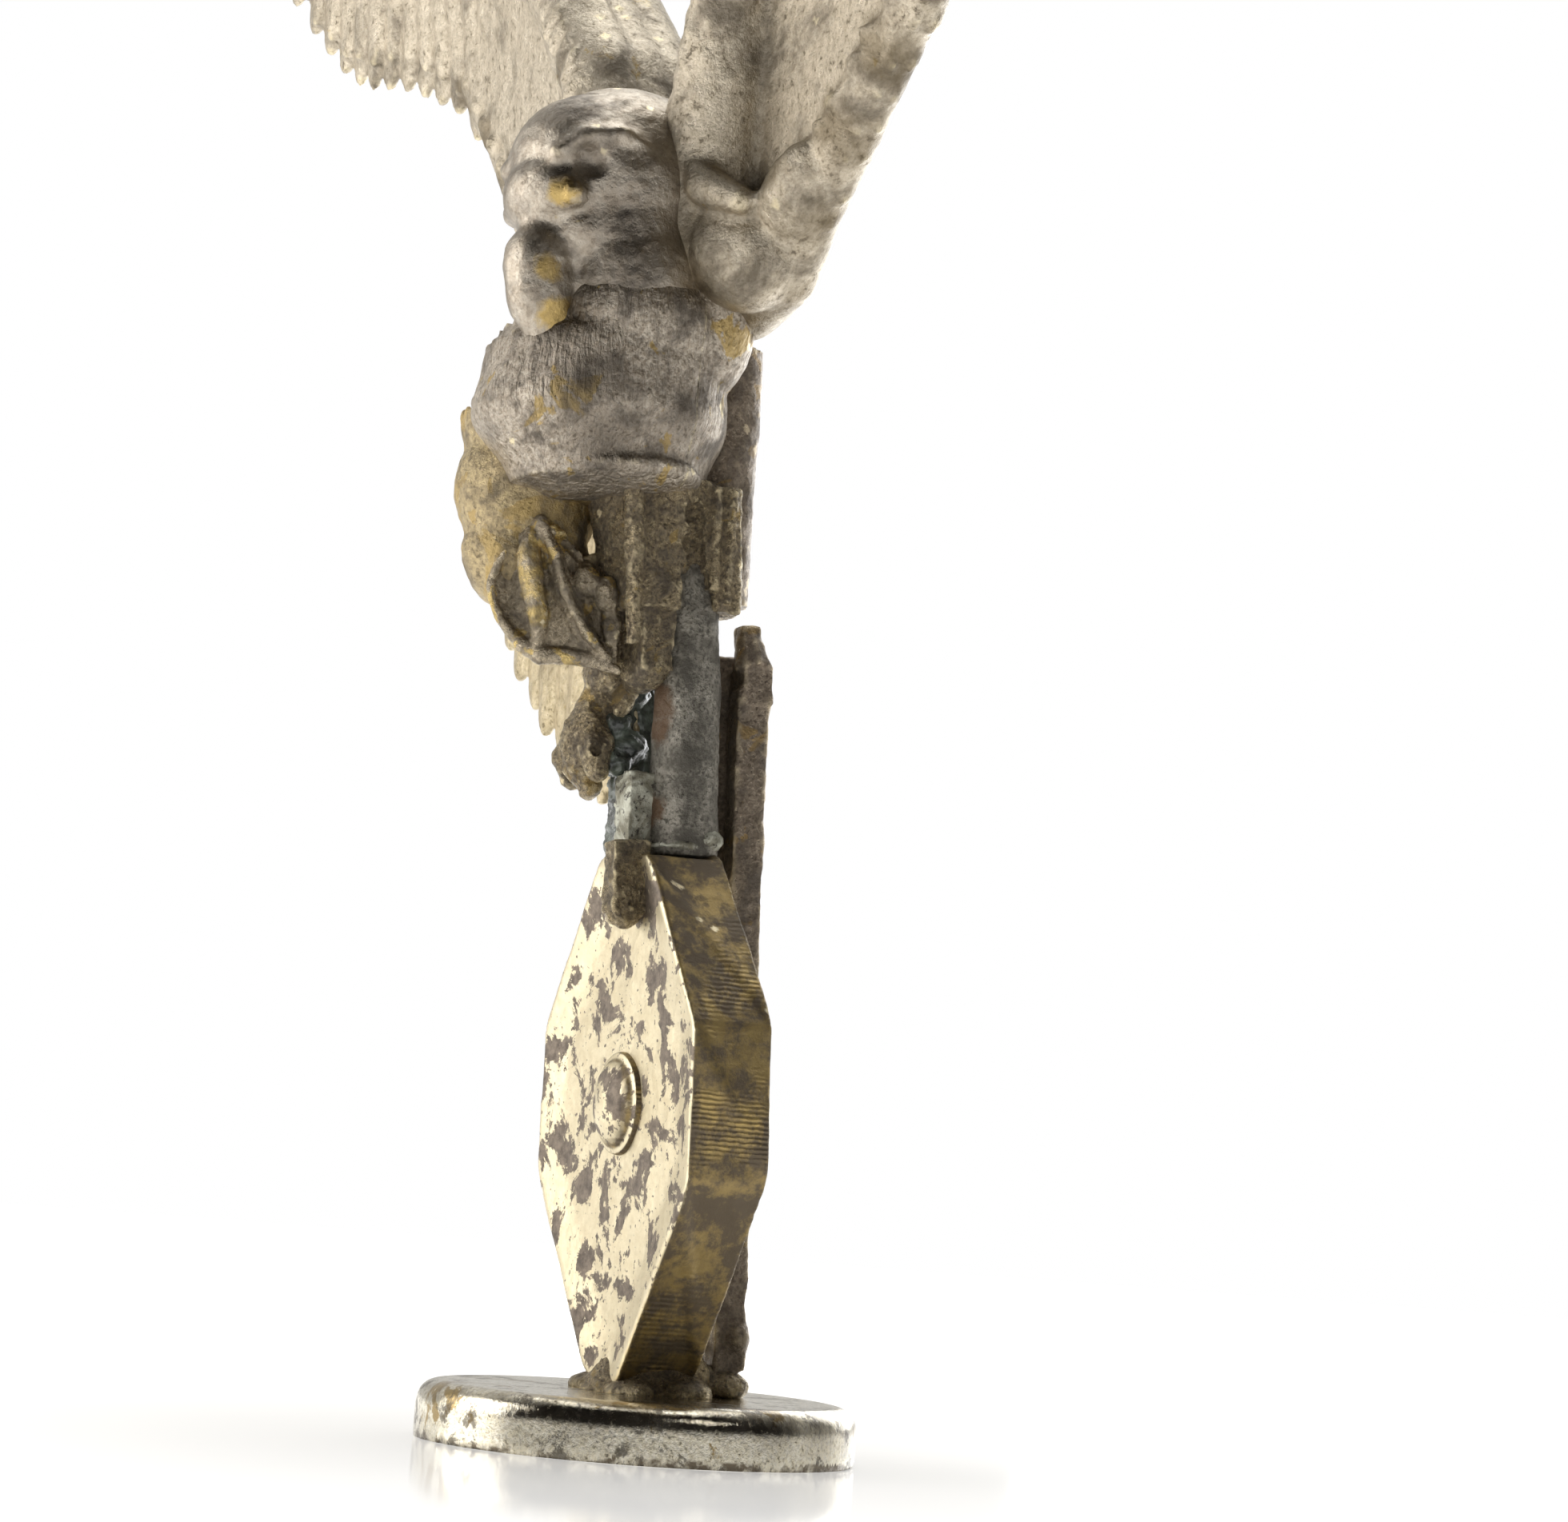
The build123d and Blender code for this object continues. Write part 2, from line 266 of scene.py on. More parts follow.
def wornPlate(name, finish):
    # silver plate worn through to brass on the high spots and tarnished in the hollows; the listed dark spots
    # are painted shade on the breast and head and stains on the disc, and the listed brass spots are partly a
    # painted highlight
    material, tree, shader, where = newMaterial(name)
    patches = noise(tree, where, finish["patchScale"], 9.0, finish["patchRough"], 0.3)
    stain = ramp(tree, patches, finish["stainEdge"], finish["stainEdge"] + finish["stainSoft"])
    grain = noise(tree, where, finish["patchScale"] * 7.0, 8.0, 0.7)
    speck = ramp(tree, grain, 0.60, 0.66)
    dark = combine(tree, "MAXIMUM", stain, combine(tree, "MULTIPLY", speck, finish["speck"]))
    point = pointiness(tree)
    hollow = ramp(tree, point, 0.5 - finish["hollowFrom"], 0.5 - finish["hollowTo"])
    dark = combine(tree, "MAXIMUM", dark, hollow)
    edge = ramp(tree, point, 0.5 + finish["edgeFrom"], 0.5 + finish["edgeTo"])
    worn = combine(
        tree, "MULTIPLY", edge, ramp(tree, noise(tree, where, finish["patchScale"] * 2.2, 6.0), 0.42, 0.56),
    )
    brassPatch = ramp(
        tree, noise(tree, where, finish["patchScale"] * 0.7, 7.0, 0.6, 0.6), finish["brassEdge"],
        0.02 + finish["brassEdge"],
    )
    tint = blendColour(tree, ramp(tree, grain, 0.38, 0.62), finish["plate"], finish["plateShade"])
    fleck = noise(tree, where, 2600.0, 3.0, 0.6)
    darkGrain = combine(tree, "MULTIPLY", ramp(tree, fleck, 0.52, 0.64), finish["fleck"])
    tint = blendColour(tree, darkGrain, tint, finish["tarnishAndShade"])
    # brass spots at listed places: worn brass, and on the head partly a painted highlight on the eye and beak
    if finish["brassAndHighlightSpots"]:
        brassPatch = combine(tree, "MAXIMUM", brassPatch, spotMask(tree, where, finish["brassAndHighlightSpots"]))
    tint = blendColour(tree, brassPatch, tint, finish["brass"])
    tint = blendColour(tree, combine(tree, "MULTIPLY", dark, finish["tarnishCover"]), tint, finish["tarnishAndShade"])
    tint = blendColour(tree, worn, tint, finish["brassBright"])
    # painted shade: dark spots at the listed places in the tarnish colour, a painted shade and painted dark
    # reflection on the breast and head, stains on the disc
    if finish["stainAndShadeSpots"]:
        shade = combine(
            tree, "MULTIPLY", spotMask(tree, where, finish["stainAndShadeSpots"], 0.1),
            ramp(tree, grain, 0.34, 0.6, 1.0, 0.55),
        )
        tint = blendColour(tree, combine(tree, "MULTIPLY", shade, 0.85), tint, finish["tarnishAndShade"])
    if finish["oliveSpots"]:
        olive = spotMask(tree, mirrored(tree, where), finish["oliveSpots"])
        tint = blendColour(tree, combine(tree, "MULTIPLY", olive, 0.7), tint, (0.15, 0.115, 0.065))
    feed(shader, "Base Color", tint)
    rough = ramp(tree, dark, 0.0, 1.0, finish["polish"], finish["polish"] + finish["dull"])
    rough = combine(tree, "ADD", rough, ramp(tree, grain, 0.3, 0.8, -0.05, 0.12))
    feed(shader, "Roughness", rough)
    feed(shader, "Metallic", ramp(tree, dark, 0.0, 1.0, 1.0, finish["tarnishMetal"]))
    cast = bumpFrom(tree, fleck, finish["bump"], 0.00016)
    pits = bumpFrom(tree, grain, finish["bump"], 0.0005, cast)
    if finish["strokes"]:
        stretch = tree.nodes.new("ShaderNodeMapping")
        stretch.inputs["Scale"].default_value = (1.0, 1.0, 0.22)
        tree.links.new(where, stretch.inputs["Vector"])
        strokes = noise(tree, stretch.outputs["Vector"], 1300.0, 3.0, 0.55, 0.4)
        pits = bumpFrom(tree, strokes, finish["strokes"], 0.0007, pits)
    layer = bumpFrom(tree, dark, finish["bump"] * 0.8, 0.00012, pits)
    feed(shader, "Normal", layer)
    return material


platedFinish = {
    "patchScale": 170.0,
    "patchRough": 0.62,
    "stainEdge": 0.47,
    "stainSoft": 0.16,
    "speck": 0.6,
    "hollowFrom": 0.005,
    "hollowTo": 0.07,
    "edgeFrom": 0.02,
    "edgeTo": 0.09,
    "brassEdge": 0.61,
    "plate": (0.56, 0.50, 0.41),
    "plateShade": (0.34, 0.285, 0.22),
    "brass": (0.42, 0.31, 0.14),
    "brassBright": (0.78, 0.68, 0.46),
    "tarnishAndShade": (0.095, 0.078, 0.062),
    "tarnishCover": 0.75,
    "tarnishMetal": 0.7,
    "polish": 0.30,
    "dull": 0.24,
    "bump": 0.6,
    "fleck": 0.45,
    "strokes": 0.0,
    "brassAndHighlightSpots": [],
    "oliveSpots": [],
    "stainAndShadeSpots": [],
}


def makeMaterials():
    palette = {}
    palette["breast"] = wornPlate(
        "wornBreastPlate",
        dict(platedFinish, patchScale=230.0, plate=(0.54, 0.48, 0.40), stainEdge=0.47, strokes=0.8,
        fleck=0.35,
             stainAndShadeSpots=body["stainAndShadeSpots"], tarnishAndShade=(0.08, 0.066, 0.052))
    )
    palette["head"] = wornPlate(
        "wornHeadPlate",
        dict(platedFinish, patchScale=110.0, plate=(0.47, 0.42, 0.35), plateShade=(0.33, 0.28, 0.22),
        stainEdge=0.49,
             speck=0.25, tarnishCover=0.7, bump=0.35, fleck=0.2, brassEdge=0.68, brass=(0.46, 0.33, 0.13),
             brassAndHighlightSpots=head["brassAndHighlightSpots"], stainAndShadeSpots=head["stainAndShadeSpots"], tarnishAndShade=(0.075, 0.062, 0.05)),
    )
    palette["wing"] = wornPlate(
        "wornWingPlate",
        dict(platedFinish, patchScale=130.0, plate=(0.60, 0.53, 0.42), plateShade=(0.42, 0.36, 0.27),
        stainEdge=0.51,
             fleck=0.3, brassEdge=0.66, tarnishAndShade=(0.10, 0.08, 0.055), oliveSpots=wing["oliveSpots"]),
    )
    palette["tail"] = wornPlate(
        "wornTailPlate",
        dict(platedFinish, patchScale=130.0, plate=(0.62, 0.53, 0.36), plateShade=(0.44, 0.36, 0.22),
        stainEdge=0.53,
             fleck=0.25, hollowFrom=0.002, hollowTo=0.04, tarnishAndShade=(0.13, 0.095, 0.05)),
    )
    palette["thigh"] = wornPlate(
        "yellowedPlate",
        dict(platedFinish, patchScale=190.0, plate=(0.50, 0.40, 0.23), plateShade=(0.34, 0.27, 0.16),
        brassEdge=0.5,
             speck=0.4),
    )
    palette["tuft"] = wornPlate(
        "wornTuftPlate",
        dict(platedFinish, patchScale=330.0, plate=(0.50, 0.43, 0.32), plateShade=(0.30, 0.25, 0.18),
        brassEdge=0.54,
             hollowTo=0.14, bump=0.6, polish=0.24, fleck=0.3, brass=(0.62, 0.47, 0.2),
             brassAndHighlightSpots=tuft["brassAndHighlightSpots"]),
    )
    palette["rough"] = wornPlate(
        "roughCastBronze",
        dict(platedFinish, patchScale=330.0, plate=(0.50, 0.41, 0.26), plateShade=(0.20, 0.16, 0.11),
        stainEdge=0.46,
             polish=0.22, bump=1.0, brassBright=(0.80, 0.68, 0.44), edgeFrom=0.012, edgeTo=0.06, speck=0.9,
             fleck=0.7),
    )
    palette["darkBrass"] = wornPlate(
        "darkBrassStrip",
        dict(platedFinish, patchScale=260.0, plate=(0.29, 0.24, 0.185), plateShade=(0.17, 0.135, 0.10),
             brass=(0.28, 0.20, 0.1), stainEdge=0.48, polish=0.28, brassBright=(
                 0.55, 0.46, 0.32,
             ), edgeFrom=0.01,
             edgeTo=0.05),
    )
    palette["disc"] = wornPlate(
        "discPlate",
        dict(platedFinish, patchScale=240.0, stainEdge=0.53, stainSoft=0.04, plate=(0.92, 0.87, 0.74),
             plateShade=(
                 0.76, 0.69, 0.52,
             ), polish=0.09, dull=0.18, bump=0.09, brassEdge=0.60, tarnishMetal=0.95,
             tarnishAndShade=(0.06, 0.05, 0.04), fleck=0.3, speck=1.0, edgeFrom=0.004, edgeTo=0.02,
             brassBright=(0.20, 0.165, 0.12), patchRough=0.8, stainAndShadeSpots=disc["stainAndShadeSpots"]),
    )
    palette["plaque"] = makePlaqueMaterial()
    palette["steel"] = makeSteelMaterial()
    palette["solder"] = makeSolderMaterial()
    palette["verdigris"] = makeVerdigrisMaterial()
    palette["zinc"] = makeZincMaterial()
    palette["floor"] = makeFloorMaterial()
    return palette


def makePlaqueMaterial():
    # cream plate that flakes off the flat faces, filed brass on the sides
    material, tree, shader, where = newMaterial("flakedPlaque")
    normal = tree.nodes.new("ShaderNodeNewGeometry").outputs["Normal"]
    split = tree.nodes.new("ShaderNodeSeparateXYZ")
    tree.links.new(normal, split.inputs["Vector"])
    facing = tree.nodes.new("ShaderNodeMath")
    facing.operation = "ABSOLUTE"
    tree.links.new(split.outputs["Y"], facing.inputs[0])
    flatFace = ramp(tree, facing.outputs["Value"], 0.70, 0.86)
    flakes = noise(tree, where, 210.0, 12.0, 0.66, 0.35)
    dots = noise(tree, where, 1500.0, 3.0, 0.5)
    grain = noise(tree, where, 900.0, 8.0, 0.7)
    bare = ramp(tree, flakes, 0.520, 0.540)
    pinholes = ramp(tree, dots, 0.66, 0.69)
    bare = combine(tree, "MAXIMUM", bare, pinholes)
    hollow = ramp(tree, pointiness(tree), 0.49, 0.44)
    bare = combine(tree, "MAXIMUM", bare, hollow)
    cream = blendColour(tree, ramp(tree, grain, 0.35, 0.7), (0.80, 0.71, 0.50), (0.68, 0.58, 0.38))
    underCoat = blendColour(tree, ramp(tree, grain, 0.38, 0.62), (0.13, 0.105, 0.085), (0.28, 0.23, 0.18))
    faceTint = blendColour(tree, bare, cream, underCoat)
    patina = ramp(tree, noise(tree, where, 240.0, 11.0, 0.72, 0.1), 0.42, 0.54)
    brassTint = blendColour(tree, ramp(tree, grain, 0.3, 0.7), (0.60, 0.44, 0.17), (0.42, 0.30, 0.12))
    strokes = tree.nodes.new("ShaderNodeTexWave")
    strokes.bands_direction = "Z"
    strokes.inputs["Scale"].default_value = 640.0
    strokes.inputs["Distortion"].default_value = 2.2
    strokes.inputs["Detail"].default_value = 2.0
    strokes.inputs["Detail Scale"].default_value = 1.2
    tree.links.new(where, strokes.inputs["Vector"])
    filing = combine(tree, "MULTIPLY", strokes.outputs["Fac"], combine(tree, "SUBTRACT", 1.0, flatFace))
    filing = combine(tree, "MULTIPLY", filing, ramp(tree, noise(tree, where, 80.0, 5.0), 0.48, 0.60))
    groove = combine(tree, "MULTIPLY", ramp(tree, filing, 0.75, 0.2), 0.4)
    brassTint = blendColour(tree, groove, brassTint, (0.10, 0.08, 0.05))
    sideTint = blendColour(tree, combine(tree, "MULTIPLY", patina, 0.9), brassTint, (0.13, 0.105, 0.08))
    tint = blendColour(tree, flatFace, sideTint, faceTint)
    edge = ramp(tree, pointiness(tree), 0.54, 0.62)
    tint = blendColour(
        tree, combine(tree, "MULTIPLY", edge, ramp(tree, grain, 0.4, 0.5)), tint, (0.86, 0.76, 0.52),
    )
    feed(shader, "Base Color", tint)
    faceRough = ramp(tree, bare, 0.0, 1.0, 0.36, 0.55)
    sideRough = ramp(tree, patina, 0.0, 1.0, 0.38, 0.52)
    mixRough = tree.nodes.new("ShaderNodeMix")
    tree.links.new(flatFace, mixRough.inputs["Factor"])
    tree.links.new(sideRough, mixRough.inputs["A"])
    tree.links.new(faceRough, mixRough.inputs["B"])
    feed(shader, "Roughness", mixRough.outputs["Result"])
    feed(shader, "Metallic", ramp(tree, bare, 0.0, 1.0, 0.8, 0.7))
    cast = bumpFrom(tree, grain, 0.35, 0.0003)
    filed = bumpFrom(tree, filing, 0.7, 0.00012, cast)
    flaked = bumpFrom(tree, combine(tree, "MULTIPLY", bare, flatFace), -0.6, 0.00015, filed)
    feed(shader, "Normal", flaked)
    return material


def makeSteelMaterial():
    material, tree, shader, where = newMaterial("greyRodSteel")
    cloud = noise(tree, where, 260.0, 9.0, 0.65, 0.4)
    grain = noise(tree, where, 1300.0, 7.0, 0.7)
    grey = blendColour(tree, ramp(tree, grain, 0.3, 0.7), (0.46, 0.43, 0.37), (0.20, 0.185, 0.15))
    rust = combine(tree, "MULTIPLY", spotMask(tree, where, rod["rustSpots"]), 0.85)
    fleck = ramp(tree, noise(tree, where, 2600.0, 3.0, 0.6), 0.52, 0.62)
    grey = blendColour(tree, combine(tree, "MULTIPLY", fleck, 0.7), grey, (0.06, 0.055, 0.05))
    tint = blendColour(tree, ramp(tree, cloud, 0.42, 0.6), grey, (0.14, 0.13, 0.11))
    tint = blendColour(tree, rust, tint, (0.12, 0.062, 0.025))
    feed(shader, "Base Color", tint)
    feed(shader, "Metallic", ramp(tree, rust, 0.0, 1.0, 0.9, 0.25))
    feed(shader, "Roughness", ramp(tree, cloud, 0.3, 0.7, 0.34, 0.62))
    feed(shader, "Normal", bumpFrom(tree, grain, 0.8, 0.0005))
    return material


def makeSolderMaterial():
    material, tree, shader, where = newMaterial("dullSolder")
    cloud = noise(tree, where, 320.0, 9.0, 0.65, 0.6)
    grain = noise(tree, where, 1400.0, 6.0, 0.7)
    tint = blendColour(tree, ramp(tree, cloud, 0.40, 0.58), (0.56, 0.56, 0.47), (0.24, 0.225, 0.17))
    tint = blendColour(tree, ramp(tree, grain, 0.54, 0.62), tint, (0.07, 0.06, 0.05))
    feed(shader, "Base Color", tint)
    feed(shader, "Metallic", ramp(tree, grain, 0.3, 0.7, 0.85, 0.55))
    feed(shader, "Roughness", ramp(tree, cloud, 0.35, 0.65, 0.36, 0.62))
    feed(shader, "Normal", bumpFrom(tree, grain, 0.6, 0.0004))
    return material


def makeVerdigrisMaterial():
    # glassy green crust left in the joint between foot and rod
    material, tree, shader, where = newMaterial("glassyVerdigris")
    cloud = noise(tree, where, 420.0, 8.0, 0.6, 0.8)
    tint = blendColour(tree, ramp(tree, cloud, 0.40, 0.62), (0.03, 0.035, 0.03), (0.13, 0.155, 0.125))
    feed(shader, "Base Color", tint)
    feed(shader, "Roughness", ramp(tree, cloud, 0.3, 0.7, 0.08, 0.35))
    shader.inputs["Coat Weight"].default_value = 0.6
    shader.inputs["Coat Roughness"].default_value = 0.1
    feed(shader, "Normal", bumpFrom(tree, cloud, 0.7, 0.0006))
    return material


def makeZincMaterial():
    material, tree, shader, where = newMaterial("zincHardware")
    cloud = noise(tree, where, 240.0, 8.0, 0.6)
    grain = noise(tree, where, 1600.0, 5.0, 0.6)
    tint = blendColour(tree, ramp(tree, cloud, 0.35, 0.65), (0.56, 0.56, 0.54), (0.36, 0.35, 0.33))
    feed(shader, "Base Color", tint)
    shader.inputs["Metallic"].default_value = 1.0
    feed(shader, "Roughness", ramp(tree, cloud, 0.3, 0.7, 0.28, 0.5))
    feed(shader, "Normal", bumpFrom(tree, grain, 0.25, 0.0002))
    return material


def makeFloorMaterial():
    # pale glossy floor with a painted glow: its emission is weak by the base and grows away from it, so the
    # floor fades into the bright room
    material, tree, shader, where = newMaterial("paleFloor")
    cloud = noise(tree, where, 9.0, 4.0, 0.5)
    tint = blendColour(tree, ramp(tree, cloud, 0.3, 0.7), (0.86, 0.85, 0.83), (0.80, 0.79, 0.77))
    feed(shader, "Base Color", tint)
    feed(shader, "Roughness", ramp(tree, cloud, 0.3, 0.7, 0.07, 0.10))
    away = tree.nodes.new("ShaderNodeVectorMath")
    away.operation = "LENGTH"
    tree.links.new(where, away.inputs[0])
    shader.inputs["Emission Color"].default_value = (1.0, 1.0, 1.0, 1.0)
    # painted glow: emission strength rising with distance from the base
    glow = ramp(tree, away.outputs["Value"], 0.02, 0.26, 0.30, 0.98)
    feed(shader, "Emission Strength", glow)
    return material


# shaping helpers

def inEdit(editing):
    bpy.ops.object.mode_set(mode="EDIT" if editing else "OBJECT")


def applyModifier(piece, kind, **settings):
    selectOnly(piece)
    modifier = piece.modifiers.new(kind, kind)
    for key, value in settings.items():
        setattr(modifier, key, value)
    bpy.ops.object.modifier_apply(modifier=modifier.name)


def applyTransform(piece):
    selectOnly(piece)
    bpy.ops.object.transform_apply(location=True, rotation=True, scale=True)


def ball(centre, radii, turn=(0, 0, 0), segments=32):
    # stretched ball, centre and radii in millimetres, turn in degrees
    deselectAll()
    bpy.ops.mesh.primitive_uv_sphere_add(segments=segments, ring_count=segments // 2, radius=mm)
    piece = bpy.context.object
    piece.scale = radii
    piece.rotation_euler = [math.radians(a) for a in turn]
    piece.location = at(*centre)
    applyTransform(piece)
    return piece


def limb(start, end, startRadius, endRadius, sides=24):
    # tapered round bar between two points in millimetres
    first, last = at(*start), at(*end)
    axis = last - first
    deselectAll()
    bpy.ops.mesh.primitive_cone_add(
        vertices=sides, radius1=startRadius * mm, radius2=endRadius * mm, depth=axis.length
    )
    piece = bpy.context.object
    piece.rotation_euler = axis.to_track_quat("Z", "Y").to_euler()
    piece.location = (first + last) / 2
    applyTransform(piece)
    return piece


def chain(points, radii):
    # balls joined by tapered bars: a bent, knobbly limb
    parts = [ball(points[0], (radii[0],) * 3, segments=20)]
    for start, end, r0, r1 in zip(points, points[1:], radii, radii[1:]):
        parts.append(limb(start, end, r0, r1))
        parts.append(ball(end, (r1,) * 3, segments=20))
    return parts


def block(low, high):
    # box between two corners in millimetres
    deselectAll()
    centre = [(a + b) / 2 for a, b in zip(low, high)]
    bpy.ops.mesh.primitive_cube_add(size=mm, location=at(*centre))
    piece = bpy.context.object
    piece.scale = [b - a for a, b in zip(low, high)]
    applyTransform(piece)
    return piece


def joined(parts, name):
    deselectAll()
    for part in parts:
        part.select_set(True)
    bpy.context.view_layer.objects.active = parts[0]
    if len(parts) > 1:
        bpy.ops.object.join()
    piece = bpy.context.object
    piece.name = name
    piece.data.name = name
    return piece


def fuse(parts, name, voxel, smoothing=2):
    # melts the parts into one casting
    piece = joined(parts, name)
    applyModifier(piece, "REMESH", mode="VOXEL", voxel_size=voxel * mm)
    if smoothing:
        applyModifier(piece, "SMOOTH", factor=0.5, iterations=smoothing)
    return piece


def roughen(piece, *layers):
    # pushes the skin in and out by noises: grain size and depth in millimetres, and a shift of the pattern
    for grain, depth, *shift in layers:
        slide = at(shift[0] if shift else 0.0, 0, 0)
        texture = bpy.data.textures.new(piece.name + "Grain", "CLOUDS")
        texture.noise_scale = grain * mm
        texture.noise_depth = 3
        piece.data.transform(Matrix.Translation(slide))
        applyModifier(
            piece, "DISPLACE", texture=texture, texture_coords="LOCAL", strength=2 * depth * mm, mid_level=0.5
        )
        piece.data.transform(Matrix.Translation(-slide))


def carve(piece, cutter):
    applyModifier(piece, "BOOLEAN", operation="DIFFERENCE", solver="EXACT", object=cutter)
    bpy.data.objects.remove(cutter)


def copied(source, placement):
    # a copy of a piece with its own mesh, moved by a matrix
    twin = bpy.data.objects.new(source.name, source.data.copy())
    bpy.context.scene.collection.objects.link(twin)
    twin.data.transform(placement)
    return twin


def mirroredX(source, name):
    twin = copied(source, Matrix.Scale(-1, 4, (1, 0, 0)))
    twin.name = name
    twin.data.flip_normals()
    return twin


def dropSource(piece):
    bpy.data.objects.remove(piece)


def finishPiece(piece, name, material, nodes, body="figure", leans=True, angle=None):
    piece.name = name
    piece.data.materials.clear()
    piece.data.materials.append(material)
    if leans:
        piece.data.transform(leanMatrix)
    selectOnly(piece)
    if angle is None:
        bpy.ops.object.shade_smooth()
    else:
        bpy.ops.object.shade_smooth_by_angle(angle=math.radians(angle))
    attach(piece, body)
    if nodes:
        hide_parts(*nodes)
    print("piece", name, len(piece.data.polygons))
    return piece


# base disc

disc = {"radius": 22.5, "height": 5.8, "roundTop": 2.2}
disc["stainAndShadeSpots"] = [
    (
        at(
            disc["radius"] * math.cos(math.radians(angle)), disc["radius"] * math.sin(math.radians(angle)),
            height,
        ),
        radius,
    )
    for angle, height, radius in (
        (-38, 6.4, 5.0), (-4, 6.6, 4.4), (14, 5.2, 5.0), (31, 4.0, 5.4), (46, 2.6, 4.4), (128, 5, 6),
        (210, 5.6, 5),
    )
]


def makeDisc(palette):
    deselectAll()
    bpy.ops.mesh.primitive_cylinder_add(
        vertices=180, radius=disc["radius"] * mm, depth=disc["height"] * mm, location=at(
            0, 0, disc["height"] / 2,
        )
    )
    piece = bpy.context.object
    applyTransform(piece)
    inEdit(True)
    bpy.ops.mesh.select_all(action="DESELECT")
    inEdit(False)
    top = disc["height"] * mm
    for edge in piece.data.edges:
        heights = [piece.data.vertices[i].co.z for i in edge.vertices]
        edge.select = min(heights) > 0.9 * top
    inEdit(True)
    bpy.ops.mesh.bevel(offset=disc["roundTop"] * mm, segments=6, profile=0.5)
    inEdit(False)
    applyModifier(piece, "REMESH", mode="VOXEL", voxel_size=0.36 * mm)
    applyModifier(piece, "SMOOTH", factor=0.5, iterations=8)
    roughen(piece, (16.0, 0.05))
    for vertex in piece.data.vertices:
        if vertex.co.z < 0.25 * mm:
            vertex.co.z = 0.0
    return finishPiece(piece, "baseDisc", palette["disc"], ["base_disc"], leans=False)


# plaque

plaque = {
    "low": 6.3,
    "top": 61.0,
    "halfWidth": 20.0,
    "footHalf": 4.0,
    "topHalf": 6.5,
    "shoulderLow": 27.0,
    "shoulderHigh": 43.0,
    "thickness": 9.0,
    "border": 5.5,
    "recess": 1.2,
    "chamfer": 0.8,
    "middle": 34.0,
}
boss = {"height": 35.0, "y": 0.3 - plaque["thickness"] / 2 + plaque["recess"], "radii": (5.0, 2.7, 5.0)}


def plaqueCorners():
    right = [
        (plaque["footHalf"], plaque["low"]),
        (plaque["halfWidth"], plaque["shoulderLow"]),
        (plaque["halfWidth"], plaque["shoulderHigh"]),
        (plaque["topHalf"], plaque["top"]),
    ]
    return right + [(-x, z) for x, z in reversed(right)]


def makePlaque(palette):
    deselectAll()
    bpy.ops.mesh.primitive_cylinder_add(
        vertices=8, radius=20 * mm, depth=plaque["thickness"] * mm, rotation=(math.radians(90), 0, 0)
    )
    piece = bpy.context.object
    applyTransform(piece)
    corners = sorted(plaqueCorners(), key=lambda p: math.atan2(p[1] - plaque["middle"], p[0]))
    for side in (-1, 1):
        ringVertices = [v for v in piece.data.vertices if v.co.y * side > 0]
        ringVertices.sort(key=lambda v: math.atan2(v.co.z, v.co.x))
        for vertex, (x, z) in zip(ringVertices, corners):
            vertex.co.x = x * mm
            vertex.co.z = z * mm
    inEdit(True)
    bpy.ops.mesh.select_mode(type="FACE")
    bpy.ops.mesh.select_all(action="DESELECT")
    inEdit(False)
    for face in piece.data.polygons:
        face.select = abs(face.normal.y) > 0.9
    inEdit(True)
    bpy.ops.mesh.inset(thickness=plaque["border"] * mm, depth=-plaque["recess"] * mm, use_individual=True)
    bpy.ops.mesh.select_all(action="SELECT")
    bpy.ops.mesh.bevel(offset=plaque["chamfer"] * mm, segments=3, profile=0.6)
    inEdit(False)
    applyModifier(piece, "REMESH", mode="VOXEL", voxel_size=0.34 * mm)
    applyModifier(piece, "SMOOTH", factor=0.5, iterations=3)
    roughen(piece, (7.0, 0.16), (1.2, 0.03, 17.0))
    finishPiece(piece, "emblemPlaque", palette["plaque"], ["emblem_plaque"])
    dome = ball((0, boss["y"], boss["height"]), boss["radii"])
    rim = limb((0, -3.0, boss["height"]), (0, -3.9, boss["height"]), 5.4, 5.2, 48)
    piece = fuse([dome, rim], "plainBoss", 0.2, 2)
    roughen(piece, (1.4, 0.04, 3.0))
    finishPiece(piece, "plainBoss", palette["plaque"], ["emblem_boss"])


def makeBaseSolder(palette):
    top = figure["discTop"]
    parts = [
        limb((0, 0.4, top - 0.2), (0, 0.4, top + 3.6), 6.4, 4.2, 48),
        ball((-4.2, -3.2, top + 0.3), (3.2, 2.6, 1.4)),
        ball((4.6, 3.0, top + 0.4), (3.2, 3.0, 1.7)),
        ball((4.2, -3.0, top + 0.2), (3.2, 2.6, 1.2)),
        ball((-4.6, 3.4, top + 0.4), (2.8, 2.8, 1.6)),
        ball((1.0, 5.0, top + 1.2), (3.4, 1.8, 3.4)),
    ]
    piece = fuse(parts, "baseSolder", 0.32, 6)
    roughen(piece, (2.8, 0.35), (0.8, 0.08, 5.0))
    for vertex in piece.data.vertices:
        vertex.co.z = max(vertex.co.z, (top - 0.1) * mm)
    finishPiece(piece, "baseSolder", palette["rough"], ["base_solder"], leans=False)


# rod and back strips

rod = {"x": 2.0, "y": 1.5, "foot": 60.6}
rod["rustSpots"] = [
    (leanMatrix @ at(2.6, -2.0, z), radius)
    for z, radius in ((76.5, 2.4), (73.6, 2.0), (65.4, 1.8))
]


